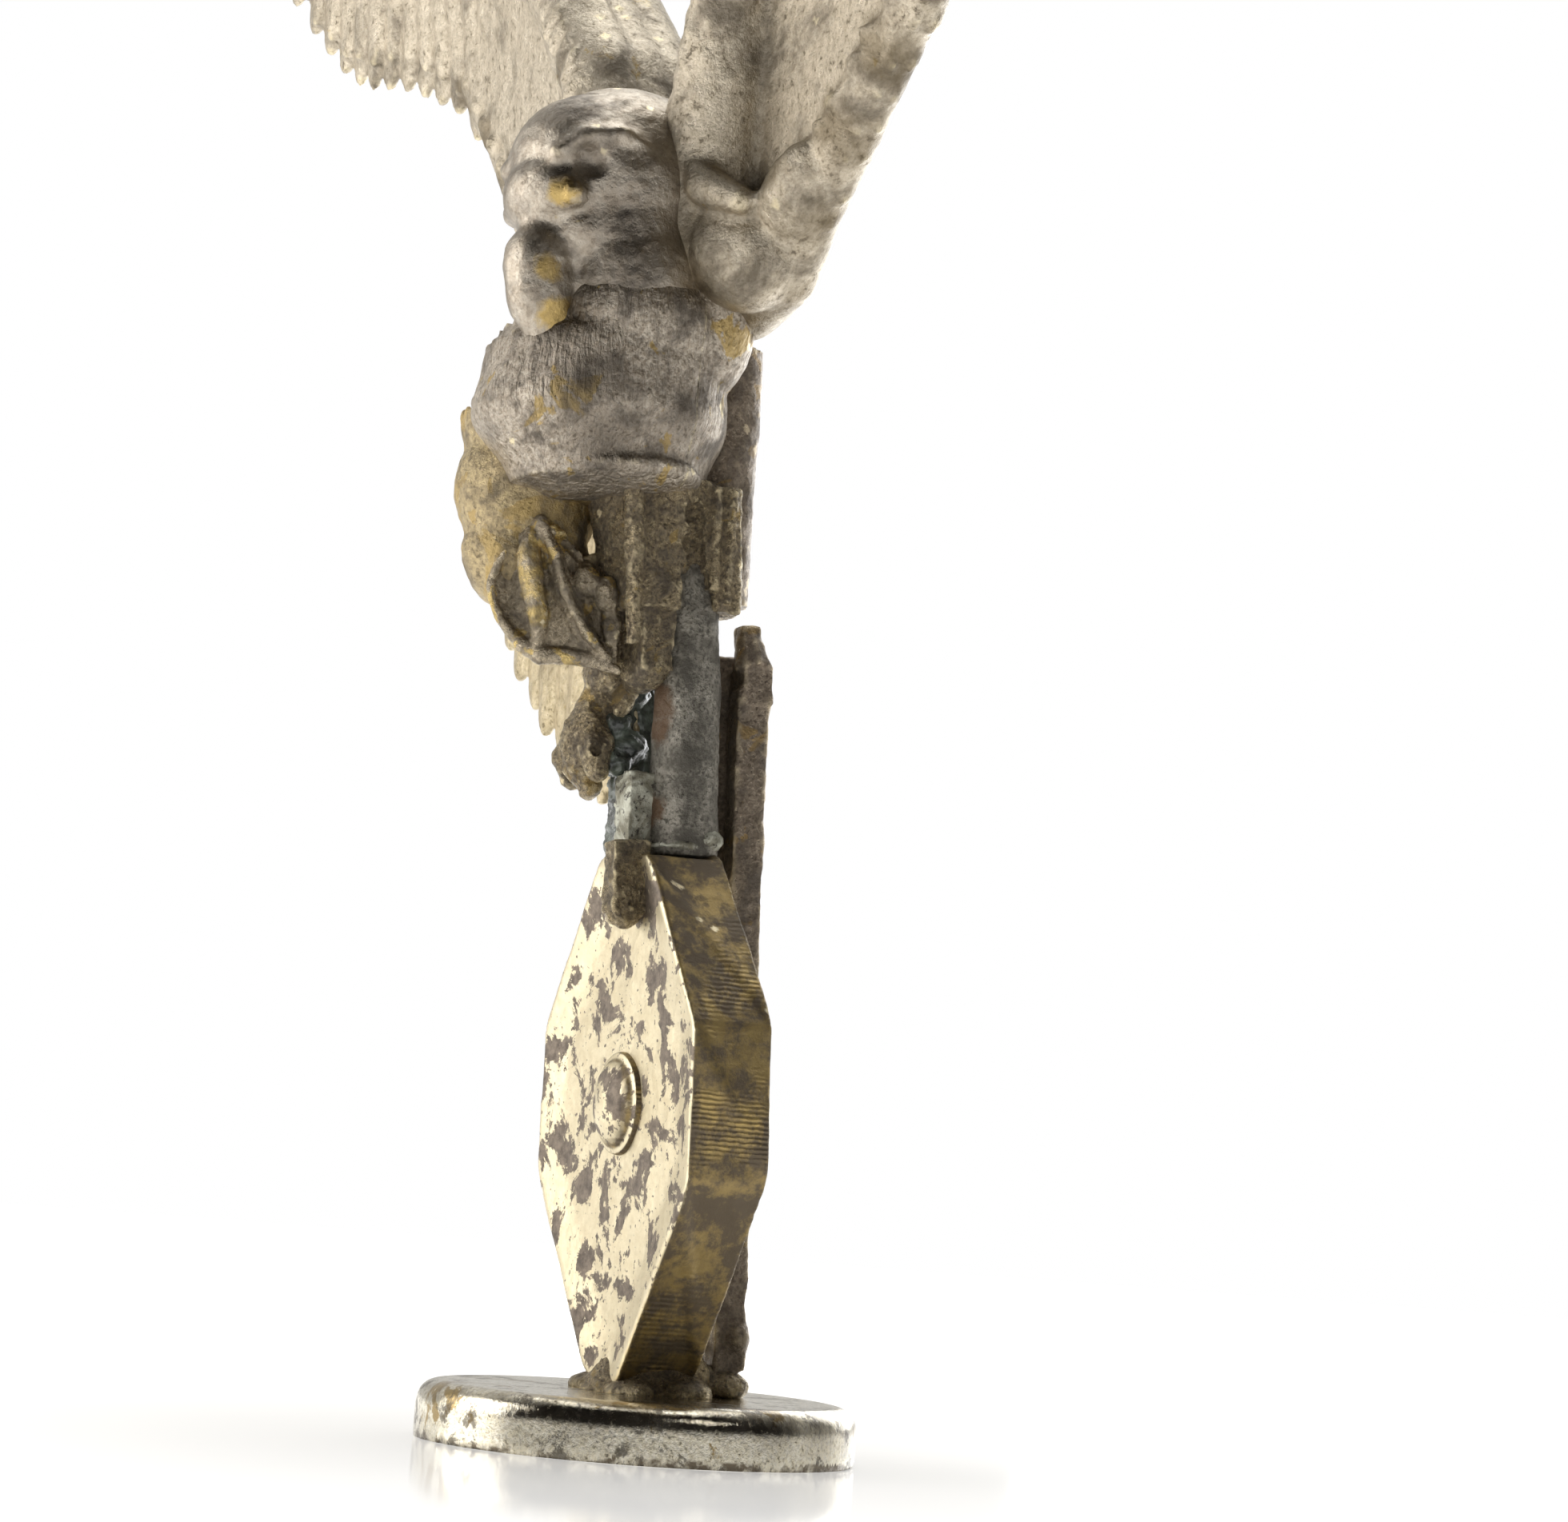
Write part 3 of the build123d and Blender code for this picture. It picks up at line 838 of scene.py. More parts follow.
def makeRod(palette):
    x, y = rod["x"], rod["y"]
    parts = chain(
        [
            (x, y, rod["foot"] + 2.5), (x, y, 70), (x, y, 80), (x + 0.2, y - 0.2, 86), (x + 0.6, y - 0.6, 90),
            (x + 1.0, y - 1.0, 93),
        ],
        [3.75, 3.65, 3.45, 3.1, 2.3, 1.1],
    )
    parts.append(limb((x, y, rod["foot"]), (x, y, rod["foot"] + 4), 3.75, 3.7, 40))
    piece = fuse(parts, "coreRod", 0.3, 4)
    roughen(piece, (3.2, 0.2), (0.9, 0.1, 9.0))
    finishPiece(piece, "coreRod", palette["steel"], ["core_rod"])
    lumps = [
        ball((x - 0.6, y - 0.8, 61.6), (4.3, 3.4, 0.9)),
        ball((x + 1.4, y + 1.9, 62.4), (2.5, 2.0, 1.2)),
        ball((x + 2.6, y - 1.0, 61.6), (1.6, 1.6, 0.7)),
        ball((x - 1.5, y + 3.0, 63.0), (2.4, 1.4, 1.8)),
        block((x - 3.6, y - 6.2, 61.2), (x + 0.4, y - 3.2, 69.2)),
    ]
    collar = fuse(lumps, "rodSolder", 0.26, 2)
    roughen(collar, (1.6, 0.45), (0.7, 0.16, 4.0))
    finishPiece(collar, "rodSolder", palette["solder"], ["rod_solder"])


strip = {"y": 8.9, "half": 2.5, "thick": 2.4, "top": 85.0, "low": 5.9}


def makeStrips(palette):
    y, half, thick = strip["y"], strip["half"], strip["thick"] / 2
    parts = [
        block((-half, y - thick, strip["low"]), (half, y + thick, strip["top"] - 4)),
        block((-half, y - 3.8, 58), (-half + 1.3, y, strip["top"] - 2)),
        block((-half + 0.4, y - thick - 0.5, 20), (-half + 1.4, y + thick, 76)),
        block((-0.4, y - 1.2, strip["top"] - 6), (2.0, y + 0.9, strip["top"] + 0.8)),
        block((-0.6, y - 1.2, strip["top"] - 7.5), (2.8, y + 2.2, strip["top"] - 3.2)),
        limb((1.6, y + 0.2, strip["top"] - 3.6), (1.2, y - 0.2, strip["top"] - 0.2), 2.2, 1.2, 8),
        block((0.2, y - thick - 0.5, 8), (half + 0.1, y + thick + 0.7, strip["top"] - 6)),
        ball((0.6, y + 0.9, 11.4), (2.9, 1.9, 2.4)),
    ]
    piece = fuse(parts, "backStripLower", 0.3, 2)
    roughen(piece, (4.0, 0.4), (1.1, 0.07, 8.0))
    finishPiece(piece, "backStripLower", palette["darkBrass"], ["back_strip_lower"])
    bead = fuse(
        [
            ball((0.5, y - 0.2, 6.4), (4.0, 3.0, 1.9)), ball((1.2, y - 2.6, 6.6), (2.4, 2.0, 2.4)),
        ], "stripFootBead", 0.3, 2
    )
    roughen(bead, (1.6, 0.3))
    finishPiece(bead, "stripFootBead", palette["rough"], ["strip_foot_bead"])
    upperParts = [
        limb((0, 5.4, 88), (0, 5.6, 116), 3.3, 3.8),
        block((-2.8, 3.6, 89), (2.8, 7.2, 114)),
        limb((0.4, 6.2, 86.8), (0.4, 6.2, 92), 1.3, 2.2),
        limb((1.9, 5.2, 87.6), (1.9, 5.2, 94), 0.7, 1.4),
        limb((-1.4, 6.4, 87.3), (-1.4, 6.2, 94), 0.8, 1.6),
    ]
    upper = fuse(upperParts, "backStripUpper", 0.32, 3)
    roughen(upper, (3.6, 0.3), (0.9, 0.07, 6.0))
    finishPiece(upper, "backStripUpper", palette["darkBrass"], ["back_strip_upper"])


# body

body = {
    # height: half width, half depth, centre y
    "sections": [
        (97.5, 5.0, 6.0, -8.0),
        (99.0, 9.6, 10.4, -8.0),
        (106.0, 13.0, 13.5, -9.0),
        (112.0, 13.2, 12.8, -8.6),
        (117.0, 11.4, 10.6, -7.4),
        (122.0, 9.2, 8.6, -6.2),
        (130.0, 7.4, 7.2, -6.0),
    ],
    "splitY": -3.0,
    "rings": 51,
    "ringGap": 0.65,
}
# painted dark reflection: dark spots down the front of the breast and on its left flank
body["stainAndShadeSpots"] = [
    (leanMatrix @ at(*place), radius)
    for place, radius in (
        ((9.0, -17.0, 113.0), 6.0), ((10.5, -15.5, 107.5), 6.0), ((10.5, -13.0, 101.5), 6.0),
        ((13.0, -4.0, 104.0), 5.0),
    )
]


def bodyAt(z):
    # half width, half depth and centre y of the body at a height
    rows = body["sections"]
    for low, high in zip(rows, rows[1:]):
        if z <= high[0]:
            t = max(0.0, (z - low[0]) / (high[0] - low[0]))
            t = t * t * (3 - 2 * t)
            return [a + (b - a) * t for a, b in zip(low[1:], high[1:])]
    return rows[-1][1:]


def featherScale():
    # one small body feather, lying along -Z with its outer face to -Y
    scale = ball((0, 0, 0), (1.0, 0.30, 1.7), segments=16)
    shaft = limb((0, -0.26, 1.2), (0, -0.26, -1.3), 0.14, 0.10, 8)
    return joined([scale, shaft], "featherScale")


def surfaceFrame(place, outward, down):
    # matrix that lays a feather on a surface, tip pointing down
    yAxis = -outward.normalized()
    zAxis = -(down - down.dot(outward) * outward).normalized()
    xAxis = yAxis.cross(zAxis)
    turn = Matrix((xAxis, yAxis, zAxis)).transposed().to_4x4()
    return Matrix.Translation(place) @ turn


def bodyFeathers(scaleSource, lowAngle, highAngle, lowZ, highZ, size):
    # overlapping rows of feathers round the body between two angles
    feathers = []
    rowGap = 2.3 * size
    rows = int((highZ - lowZ) / rowGap)
    for row in range(rows + 1):
        z = lowZ + row * rowGap
        a, b, yc = bodyAt(z)
        step = math.degrees(1.75 * size / max(a, b))
        count = int((highAngle - lowAngle) / step)
        for i in range(count + 1):
            angle = math.radians(lowAngle + (i + 0.5 * (row % 2)) * step + random.uniform(-3.0, 3.0))
            sunk = random.uniform(0.93, 0.965)
            x, y = sunk * a * math.cos(angle), yc + sunk * b * math.sin(angle)
            outward = Vector((math.cos(angle) / a, math.sin(angle) / b, 0)).normalized()
            below = bodyAt(z - 2)
            slope = (a - below[0]) / 2
            outward = (outward + Vector((0, 0, -slope * 0.8))).normalized()
            down = Vector((0.12 * math.cos(angle), 0, -1))
            spot = surfaceFrame(at(x, y, z), outward, down)
            tilt = Matrix.Rotation(math.radians(random.uniform(3, 13)), 4, "X")
            grow = Matrix.Scale(size * random.uniform(0.8, 1.3), 4)
            feathers.append(copied(scaleSource, spot @ tilt @ grow))
    return feathers


def bodyCore(name):
    # barrel of the body, bridged through its level ellipses
    rings = []
    for i in range(body["rings"]):
        z = body["sections"][0][0] + body["ringGap"] * i
        a, b, yc = bodyAt(z)
        deselectAll()
        bpy.ops.mesh.primitive_circle_add(vertices=64, radius=mm, location=at(0, yc, z))
        circle = bpy.context.object
        circle.scale = (a, b, 1)
        applyTransform(circle)
        rings.append(circle)
    piece = joined(rings, name)
    inEdit(True)
    bpy.ops.mesh.select_all(action="SELECT")
    bpy.ops.mesh.bridge_edge_loops()
    bpy.ops.mesh.select_all(action="SELECT")
    bpy.ops.mesh.region_to_loop()
    bpy.ops.mesh.edge_face_add()
    bpy.ops.mesh.select_all(action="SELECT")
    bpy.ops.mesh.normals_make_consistent(inside=False)
    inEdit(False)
    return piece


def halfCut(piece, keepFront):
    # cuts a piece at the body's split and caps it
    selectOnly(piece)
    inEdit(True)
    bpy.ops.mesh.select_all(action="SELECT")
    bpy.ops.mesh.bisect(
        plane_co=at(0, body["splitY"], 0),
        plane_no=(0, 1, 0),
        use_fill=True,
        clear_outer=keepFront,
        clear_inner=not keepFront,
    )
    inEdit(False)


def makeBody(palette):
    scaleSource = featherScale()
    parts = [
        bodyCore("bodyCore"),
        ball((2.5, -7.5, 99.8), (8.6, 8.6, 2.3)),
        ball((2.5, -6.0, 116.5), (10.0, 9.0, 8.5)),
        ball((4.6, -7.6, 115.0), (9.6, 9.6, 7.6)),
        ball((7.0, -1.5, 116), (5.4, 6.4, 9.0), (0, 14, 0)),
        ball((-7.0, -1.5, 116), (5.4, 6.4, 9.0), (0, -14, 0)),
    ]
    parts += bodyFeathers(scaleSource, -185, -25, 101.0, 127.0, 0.8)
    piece = fuse(parts, "bodyCasting", 0.32, 1)
    roughen(piece, (5.0, 0.22), (1.1, 0.06, 12.0))
    back = copied(piece, Matrix.Identity(4))
    halfCut(piece, True)
    finishPiece(piece, "breastCasting", palette["breast"], ["breast_casting"])
    halfCut(back, False)
    finishPiece(back, "backCasting", palette["breast"], ["back_casting"])
    dropSource(scaleSource)


def makeBelly(palette):
    parts = [
        block((-4.0, -5.0, 79.6), (4.6, -1.4, 99.5)),
        ball((0.5, -3.2, 80.0), (4.2, 2.2, 2.4)),
        limb((0, -1.8, 90), (0, -2.8, 99.8), 5.8, 6.9, 40),
        block((-3.4, -6.8, 86), (6.0, -1.4, 99.6)),
        block((-3.0, 0.9, 88.6), (5.8, 5.4, 99.8)),
        block((-2.0, 2.6, 86.4), (5.2, 5.8, 92)),
        limb((5.6, -6.4, 82), (6.2, -7.4, 99.4), 0.8, 1.1),
        limb((5.7, 2.4, 88.5), (6.1, 2.2, 99.4), 0.45, 0.6),
        limb((5.4, 4.0, 87.2), (5.9, 4.2, 99.4), 0.5, 0.7),
    ]
    piece = fuse(parts, "bellyCore", 0.28, 3)
    roughen(piece, (4.0, 0.35), (1.3, 0.22, 14.0), (0.6, 0.1, 3.0))
    crack = joined(
        chain(
            [
                (7.0, 0.2, 97.6), (6.2, -0.2, 96.2), (6.2, 0.2, 94.6), (6.0, -0.2, 93), (5.8, 0.4, 91.5),
                (5.6, 0.4, 89),
            ],
            [0.7, 1.4, 0.9, 1.4, 1.1, 1.5],
        ),
        "crackCutter",
    )
    applyModifier(crack, "REMESH", mode="VOXEL", voxel_size=0.22 * mm)
    roughen(crack, (1.0, 0.45, 2.0))
    carve(piece, crack)
    finishPiece(piece, "bellyCore", palette["rough"], ["belly_core"])


# head

head = {"centre": (3.9, -9.4, 128.8), "turn": 12.0}
headPlace = Matrix.Translation(at(*head["centre"])) @ Matrix.Rotation(math.radians(head["turn"]), 4, "Z")
# brass spots on the left eye and the left side of the beak: partly worn brass, partly a painted highlight
head["brassAndHighlightSpots"] = [
    (leanMatrix @ headPlace @ at(*place), radius)
    for place, radius in (((5.4, -10.6, -2.4), 1.9), ((3.0, -10.6, -10.0), 1.8), ((3.0, -9.0, -14.6), 2.4))
]
# painted shade: dark spots round both eye hollows, on both cheeks and on the left side of the head
head["stainAndShadeSpots"] = [
    (leanMatrix @ headPlace @ at(*place), radius)
    for place, radius in (
        ((7.0, -9.0, 0.6), 4.2), ((-7.0, -9.0, 0.6), 4.2), ((8.4, -4.6, -5.0), 6.4), (
            (-8.4, -4.6, -5.0), 6.4,
        ),
        ((8.0, -4.0, -11.0), 6.0), ((-8.0, -4.0, -11.0), 6.0), ((10.0, 2.0, -4.0), 6.0),
    )
]


def makeHead(palette):
    parts = [
        ball((0, 0.6, 1.0), (10.4, 11.6, 11.0)),
        ball((0, -4.2, 2.6), (8.9, 8.0, 7.6)),
        ball((0, -8.3, -1.2), (6.3, 4.9, 4.6)),
        ball((2.4, 2.0, -8.0), (7.6, 6.4, 8.6)),
        ball((-2.4, 2.0, -8.0), (7.6, 6.4, 8.6)),
        ball((0, 5.0, -8.0), (9.6, 8.0, 11.0)),
        ball((0, 3.4, -15.0), (8.6, 7.6, 8.0)),
        ball((2.6, 0.6, -9.0), (7.4, 8.0, 9.4)),
        ball((-2.6, 0.6, -9.0), (7.4, 8.0, 9.4)),
        ball((0, 0.2, -4.0), (9.6, 9.6, 9.0)),
        ball((0, -3.0, -4.6), (7.2, 8.0, 6.0)),
    ]
    for side in (-1, 1):
        parts += chain(
            [
                (side * 4.6, -11.0, 1.8), (side * 6.8, -8.8, 3.6), (side * 8.6, -5.6, 4.0),
                (side * 9.2, -2.4, 2.6),
            ],
            [1.0, 1.1, 1.0, 0.7],
        )
        parts += chain(
            [
                (side * 1.2, -7.0, -17.4), (side * 3.6, -6.6, -15.0), (side * 6.4, -4.6, -13.6),
                (side * 8.6, -0.6, -14.6),
            ],
            [0.9, 1.1, 1.2, 0.8],
        )
    beak = chain(
        [(0, -8.4, -4.6), (0, -9.5, -8.6), (0, -9.2, -12.4), (0, -8.0, -16.0), (0, -6.6, -18.8)],
        [2.9, 4.0, 3.6, 2.5, 1.0],
    )
    parts += beak
    piece = fuse(parts, "headCasting", 0.3, 16)
    for side in (-1, 1):
        hollow = fuse(
            [
                ball((side * 8.4, -9.8, 0.6), (2.6, 3.0, 2.4), (0, 0, side * 40)),
                ball((side * 8.2, -10.2, -2.0), (2.4, 2.4, 2.2)),
            ],
            "hollowCutter", 0.25, 3,
        )
        carve(piece, hollow)
    mouth = joined(
        chain(
            [
                (-9.0, -0.8, -16.0), (-6.4, -5.4, -15.0), (-2.6, -7.8, -17.0), (2.6, -7.8, -17.0),
                (6.4, -5.4, -15.0), (9.0, -0.8, -16.0),
            ],
            [0.3, 0.6, 0.7, 0.7, 0.6, 0.3],
        ),
        "mouthCutter",
    )
    applyModifier(mouth, "REMESH", mode="VOXEL", voxel_size=0.2 * mm)
    carve(piece, mouth)
    eyes = [ball((side * 5.3, -9.2, -2.2), (1.4, 1.6, 1.5)) for side in (-1, 1)]
    nicks = [
        block((side * 3 - 1.4, -8.2 + k, 9.6), (side * 3 + 1.4, -7.7 + k, 13))
        for side in (0, 1)
        for k in (0, 2.2)
    ]
    piece = fuse([piece] + eyes, "headCasting", 0.3, 7)
    for nick in nicks:
        carve(piece, nick)
    roughen(piece, (4.0, 0.2), (1.0, 0.07, 7.0))
    piece.data.transform(headPlace)
    finishPiece(piece, "headCasting", palette["head"], ["head"])


# wings

wing = {
    # x, y, z of the left wing's edges
    "leading": [
        (8, -3, 131), (13, -3, 150), (26, -3.5, 168), (52, -4.5, 189), (88, -6, 206), (126, -10, 213),
    ],
    "rim": [
        (8, 4, 119), (16.4, 4, 120.4), (22, 3.6, 124.8), (31.3, 3.4, 130.6), (39.4, 3.2, 135.8),
        (48, 3, 141.1), (53.4, 2.6, 144.8), (62.3, 2, 156.3), (72.7, 1, 168.2), (93, -2, 187.1),
        (122, -8, 206),
    ],
    "rimRadii": [4.0, 3.8, 3.4, 3.1, 2.8, 2.6, 2.3, 2.1, 1.8, 1.5, 1.1],
    "trailing": [
        (9, 4, 115), (24, 4, 122), (49.5, 3, 139), (62, 2, 152), (74, -1, 163), (85, -3, 169),
        (94, -5, 171.5), (103, -6, 175), (114, -8, 184), (120, -10, 192), (126, -11, 202),
    ],
    "arm": [
        (9, -2, 122.5), (12.5, -2.6, 134), (18, -2.6, 150), (31, -3, 165), (54, -4, 184), (84, -5.4, 199),
        (112, -8, 207),
    ],
    "armRadii": [5.6, 5.4, 4.8, 4.4, 3.6, 2.6, 1.6],
    "backArm": [(9, 4.6, 122.5), (13, 5, 135), (19, 4.6, 150), (31, 4, 165), (54, 1, 184), (84, -3, 199)],
    "backArmRadii": [5.0, 5.2, 5.0, 4.4, 3.2, 1.8],
    "flightFeathers": 15,
    "rimFeathers": 34,
}


def along(points, t):
    # point at t from 0 to 1 along a list of points, by length
    lengths = [math.dist(a, b) for a, b in zip(points, points[1:])]
    left = t * sum(lengths)
    for a, b, length in zip(points, points[1:], lengths):
        if left <= length:
            break
        left -= length
    s = min(1.0, left / length)
    return [p + (q - p) * s for p, q in zip(a, b)]


def heightAt(points, x):
    # y and z of an edge at an x
    for a, b in zip(points, points[1:]):
        if x <= b[0]:
            s = max(0.0, (x - a[0]) / (b[0] - a[0]))
            return a[1] + (b[1] - a[1]) * s, a[2] + (b[2] - a[2]) * s
    return points[-1][1], points[-1][2]


def feather(length, width, thick, arch=0.25):
    # long feather lying along -Z from its root at the origin, round tip, raised shaft on both faces
    deselectAll()
    bpy.ops.mesh.primitive_grid_add(x_subdivisions=8, y_subdivisions=22, size=2)
    piece = bpy.context.object
    for vertex in piece.data.vertices:
        across, down = vertex.co.x, (vertex.co.y + 1) / 2
        tip = math.sqrt(max(0.0, 1 - max(0.0, (down - 0.86) / 0.14) ** 2))
        wide = width / 2 * (0.72 + 0.28 * min(1.0, down * 2.2)) * max(tip, 0.05)
        vertex.co = at(across * wide, -arch * (1 - across * across), -down * length)
    applyModifier(piece, "SOLIDIFY", thickness=thick * mm, offset=0.0)
    shafts = [
        limb(
            (0, side * thick / 2 - arch, 0), (0, side * thick / 2 - arch * 0.9, -length * 0.93), 0.26, 0.12,
            8,
        )
        for side in (-1, 1)
    ]
    return joined([piece] + shafts, "feather")


def flightRow(count, fromX, toX, drop, width, yShift):
    # long feathers that hang from the arm to the trailing edge
    feathers = []
    for i in range(count):
        x = fromX + (toX - fromX) * i / (count - 1)
        trailY, trailZ = heightAt(wing["trailing"], x)
        leadY, leadZ = heightAt(wing["leading"], x)
        top = leadZ - 3
        tip = trailZ + drop + random.uniform(-0.5, 0.5)
        vane = feather(top - tip, width, 1.3, 0.5)
        lean = math.atan2(leadY - trailY, top - tip)
        spot = Matrix.Translation(at(x - 0.06 * (top - tip), leadY + yShift, top))
        vane.data.transform(spot @ Matrix.Rotation(-0.06, 4, "Y") @ Matrix.Rotation(-lean, 4, "X"))
        feathers.append(vane)
    return feathers


def wingPanel():
    # smooth hollowed panel between the arm and the rim
    deselectAll()
    bpy.ops.mesh.primitive_grid_add(x_subdivisions=50, y_subdivisions=14, size=2)
    piece = bpy.context.object
    for vertex in piece.data.vertices:
        t, s = (vertex.co.x + 1) / 2, (vertex.co.y + 1) / 2
        lead = along(wing["leading"], t)
        rim = along(wing["rim"], t)
        x, y, z = [a + (b - a) * s for a, b in zip(lead, rim)]
        hollow = 1.2 * math.sin(math.pi * s) * (1 - 0.7 * t)
        vertex.co = at(x, y + hollow - 1.0 * s, z)
    applyModifier(piece, "SOLIDIFY", thickness=2.6 * mm, offset=0.0)
    return piece


def wingScales(source):
    # small feathers over the front of the arm and along the rim
    feathers = []
    for row in range(4):
        count = 40 - 3 * row
        for i in range(count):
            t = 0.10 + 0.86 * (i + 0.5 * (row % 2)) / count
            spine = Vector(along(wing["arm"], t))
            rim = Vector(along(wing["rim"], t))
            chordLine = (rim - spine).normalized()
            radius = 6.2 - 4.6 * t
            for face in (-1, 1):
                angle = math.radians(-10 + 26 * row)
                outward = (chordLine * math.sin(angle) + Vector((0, face, 0)) * math.cos(angle)).normalized()
                place = (spine + outward * radius * 0.9) * mm
                down = Vector((0.25, 0, -1)) + chordLine
                grown = Matrix.Scale((1.4 - 0.3 * t) * random.uniform(0.8, 1.15), 4)
                feathers.append(copied(source, surfaceFrame(place, outward, down) @ grown))
    for row in (0, 2):
        for i in range(wing["rimFeathers"]):
            t = (i + 0.5 * (row % 2) + random.uniform(-0.2, 0.2)) / wing["rimFeathers"]
            rim = Vector(along(wing["rim"], t))
            lead = Vector(along(wing["leading"], t))
            outDirection = (rim - lead).normalized()
            radius = 3.7 - 2.5 * t
            angle = math.radians((row - 1) * 68)
            outward = (outDirection * math.cos(angle) + Vector((0, 1, 0)) * math.sin(angle)).normalized()
            place = (rim + outward * radius * random.uniform(0.68, 0.78)) * mm
            down = Vector((0.5, 0, -1)) + outDirection * 0.5
            spot = surfaceFrame(place, outward, down) @ Matrix.Rotation(math.radians(7), 4, "X")
            feathers.append(copied(source, spot @ Matrix.Scale(1.9 - 0.6 * t, 4)))
    return feathers


wing["oliveSpots"] = [
    (leanMatrix @ at(*along(wing["rim"], 0.05 + 0.07 * k)), 5.4 - 0.25 * k)
    for k in range(11)
]
wing["oliveSpots"] += [(leanMatrix @ at(10, 0, 121), 9.0), (leanMatrix @ at(24, 0, 128), 4.0)]


def makeWings(palette):
    parts = chain(wing["arm"], wing["armRadii"])
    parts += chain(wing["backArm"], wing["backArmRadii"])
    parts += chain(wing["rim"], wing["rimRadii"])
    parts.append(wingPanel())
    middle = [[(p + q) / 2 for p, q in zip(a, b)] for a, b in zip(wing["arm"], wing["backArm"])]
    parts += chain(middle, wing["backArmRadii"])
    parts += chain(
        [(9, -3.4, 139), (12, -4.6, 133), (16, -5.0, 128), (21, -3.4, 125.5)], [1.6, 2.0, 2.1, 1.5],
    )
    parts.append(ball((14.5, 0.2, 122.4), (8.0, 5.8, 6.2), (0, 30, 0)))
    parts.append(ball((24, 2.0, 126.2), (7.0, 4.2, 3.6), (0, -34, 0)))
    parts += flightRow(wing["flightFeathers"], 60.0, 124.0, 0.0, 5.6, 1.6)
    parts += flightRow(wing["flightFeathers"] - 1, 62.4, 121.0, 3.5, 5.0, 0.2)
    source = featherScale()
    parts += wingScales(source)
    dropSource(source)
    left = fuse(parts, "leftWing", 0.46, 2)
    roughen(left, (6.0, 0.22), (1.3, 0.07, 21.0))
    right = mirroredX(left, "rightWing")
    finishPiece(left, "leftWing", palette["wing"], ["left_wing"])
    finishPiece(right, "rightWing", palette["wing"], ["right_wing"])


# leg, tufts and tail

leg = {"x": -8.0}


def makeLeg(palette):
    x = leg["x"]
    parts = [
        ball((x, -13.6, 99), (7.0, 7.8, 9.0), (8, 0, 0)),
        ball((x, -13.4, 92.4), (5.8, 7.0, 6.4), (-14, 0, 0)),
        limb((x + 2, -8.5, 92), (x + 2.5, -4.6, 83), 4.6, 3.2),
    ]
    source = featherScale()
    for row in range(7):
        z = 106 - row * 2.5
        radius = 7.2 - 0.2 * row
        for i in range(14):
            angle = math.radians(-175 + i * 14.5 + 7 * (row % 2))
            outward = Vector((math.cos(angle), math.sin(angle), -0.1)).normalized()
            place = at(x + radius * math.cos(angle) * 0.94, -13.4 + 0.2 * row + radius * math.sin(angle), z)
            spot = surfaceFrame(place, outward, Vector((0, 0.2, -1)))
            parts.append(copied(source, spot @ Matrix.Scale(1.1, 4)))
    dropSource(source)
    piece = fuse(parts, "rightThigh", 0.32, 3)
    roughen(piece, (3.8, 0.3), (1.0, 0.07, 9.0))
    finishPiece(piece, "rightThigh", palette["thigh"], ["right_thigh"])


tuft = {
    # folded sheet by its creases: (across, up, out) from top to bottom, in a frame turned to the left
    "centre": (-1.8, -12.3, 88.3),
    "facing": 66.0,
    "outerRim": [(-2.0, 6.8, 0.4), (-5.0, 4.0, 0.2), (-6.8, 0.2, 0.2), (-5.8, -3.4, 0.2), (-3.2, -6.4, 0.0)],
    "outerHollow": [
        (-2.0, 6.4, 0.3), (-4.2, 3.6, 0.2), (-5.0, 0.2, -0.4), (-4.2, -3.2, -0.2), (-2.6, -6.4, 0.0),
    ],
    "midRidge": [(-2.0, 6.2, 0.6), (-2.9, 3.6, 1.2), (-2.5, 0.4, 1.5), (-1.7, -3.2, 1.3), (-1.6, -6.6, 0.3)],
    "midHollow": [(-1.9, 6.2, 0.4), (-1.5, 3.4, 0.5), (-0.9, 0.0, 0.6), (0.3, -3.6, 0.5), (0.8, -6.9, 0.2)],
    "longRidge": [(-1.9, 6.7, 1.0), (-0.2, 3.1, 1.9), (1.1, -0.8, 2.3), (3.1, -4.6, 1.9), (5.8, -7.4, 0.7)],
    "innerHollow": [(-1.4, 6.0, 0.4), (1.4, 2.2, 0.2), (3.0, -1.0, 0.0), (4.4, -4.2, -0.4), (6.0, -7.4, 0.0)],
    "innerRidge": [(-1.0, 5.4, 0.4), (3.4, 1.2, 1.5), (5.8, -1.0, 1.7), (6.4, -4.4, 1.1), (6.6, -7.8, 0.2)],
    "innerEdge": [
        (-0.4, 5.4, -1.6), (4.8, 2.2, -0.8), (7.4, -0.6, -1.0), (7.4, -4.2, -1.2), (6.9, -7.8, -0.8),
    ],
}


def curvePoint(points, t):
    # smooth point on a crease at t from 0 to 1
    last = len(points) - 1
    k = min(last - 1, int(t * last))
    s = t * last - k
    before = Vector(points[max(0, k - 1)])
    start, end = Vector(points[k]), Vector(points[k + 1])
    after = Vector(points[min(last, k + 2)])
    smooth = 2 * start + (end - before) * s
    smooth += (2 * before - 5 * start + 4 * end - after) * s**2
    smooth += (3 * start - before - 3 * end + after) * s**3
    return smooth / 2


def foldedSheet(creases, thick):
    # sheet of metal that runs through its creases in turn
    columns = 8 * (len(creases) - 1)
    deselectAll()
    bpy.ops.mesh.primitive_grid_add(x_subdivisions=columns, y_subdivisions=32, size=2)
    piece = bpy.context.object
    for vertex in piece.data.vertices:
        across, t = (vertex.co.x + 1) / 2 * (len(creases) - 1), (1 - vertex.co.y) / 2
        k = min(len(creases) - 2, int(across))
        s = across - k
        first = curvePoint(tuft[creases[k]], t)
        second = curvePoint(tuft[creases[k + 1]], t)
        vertex.co = first.lerp(second, s) * mm
    applyModifier(piece, "SOLIDIFY", thickness=thick * mm, offset=-1.0)
    return piece


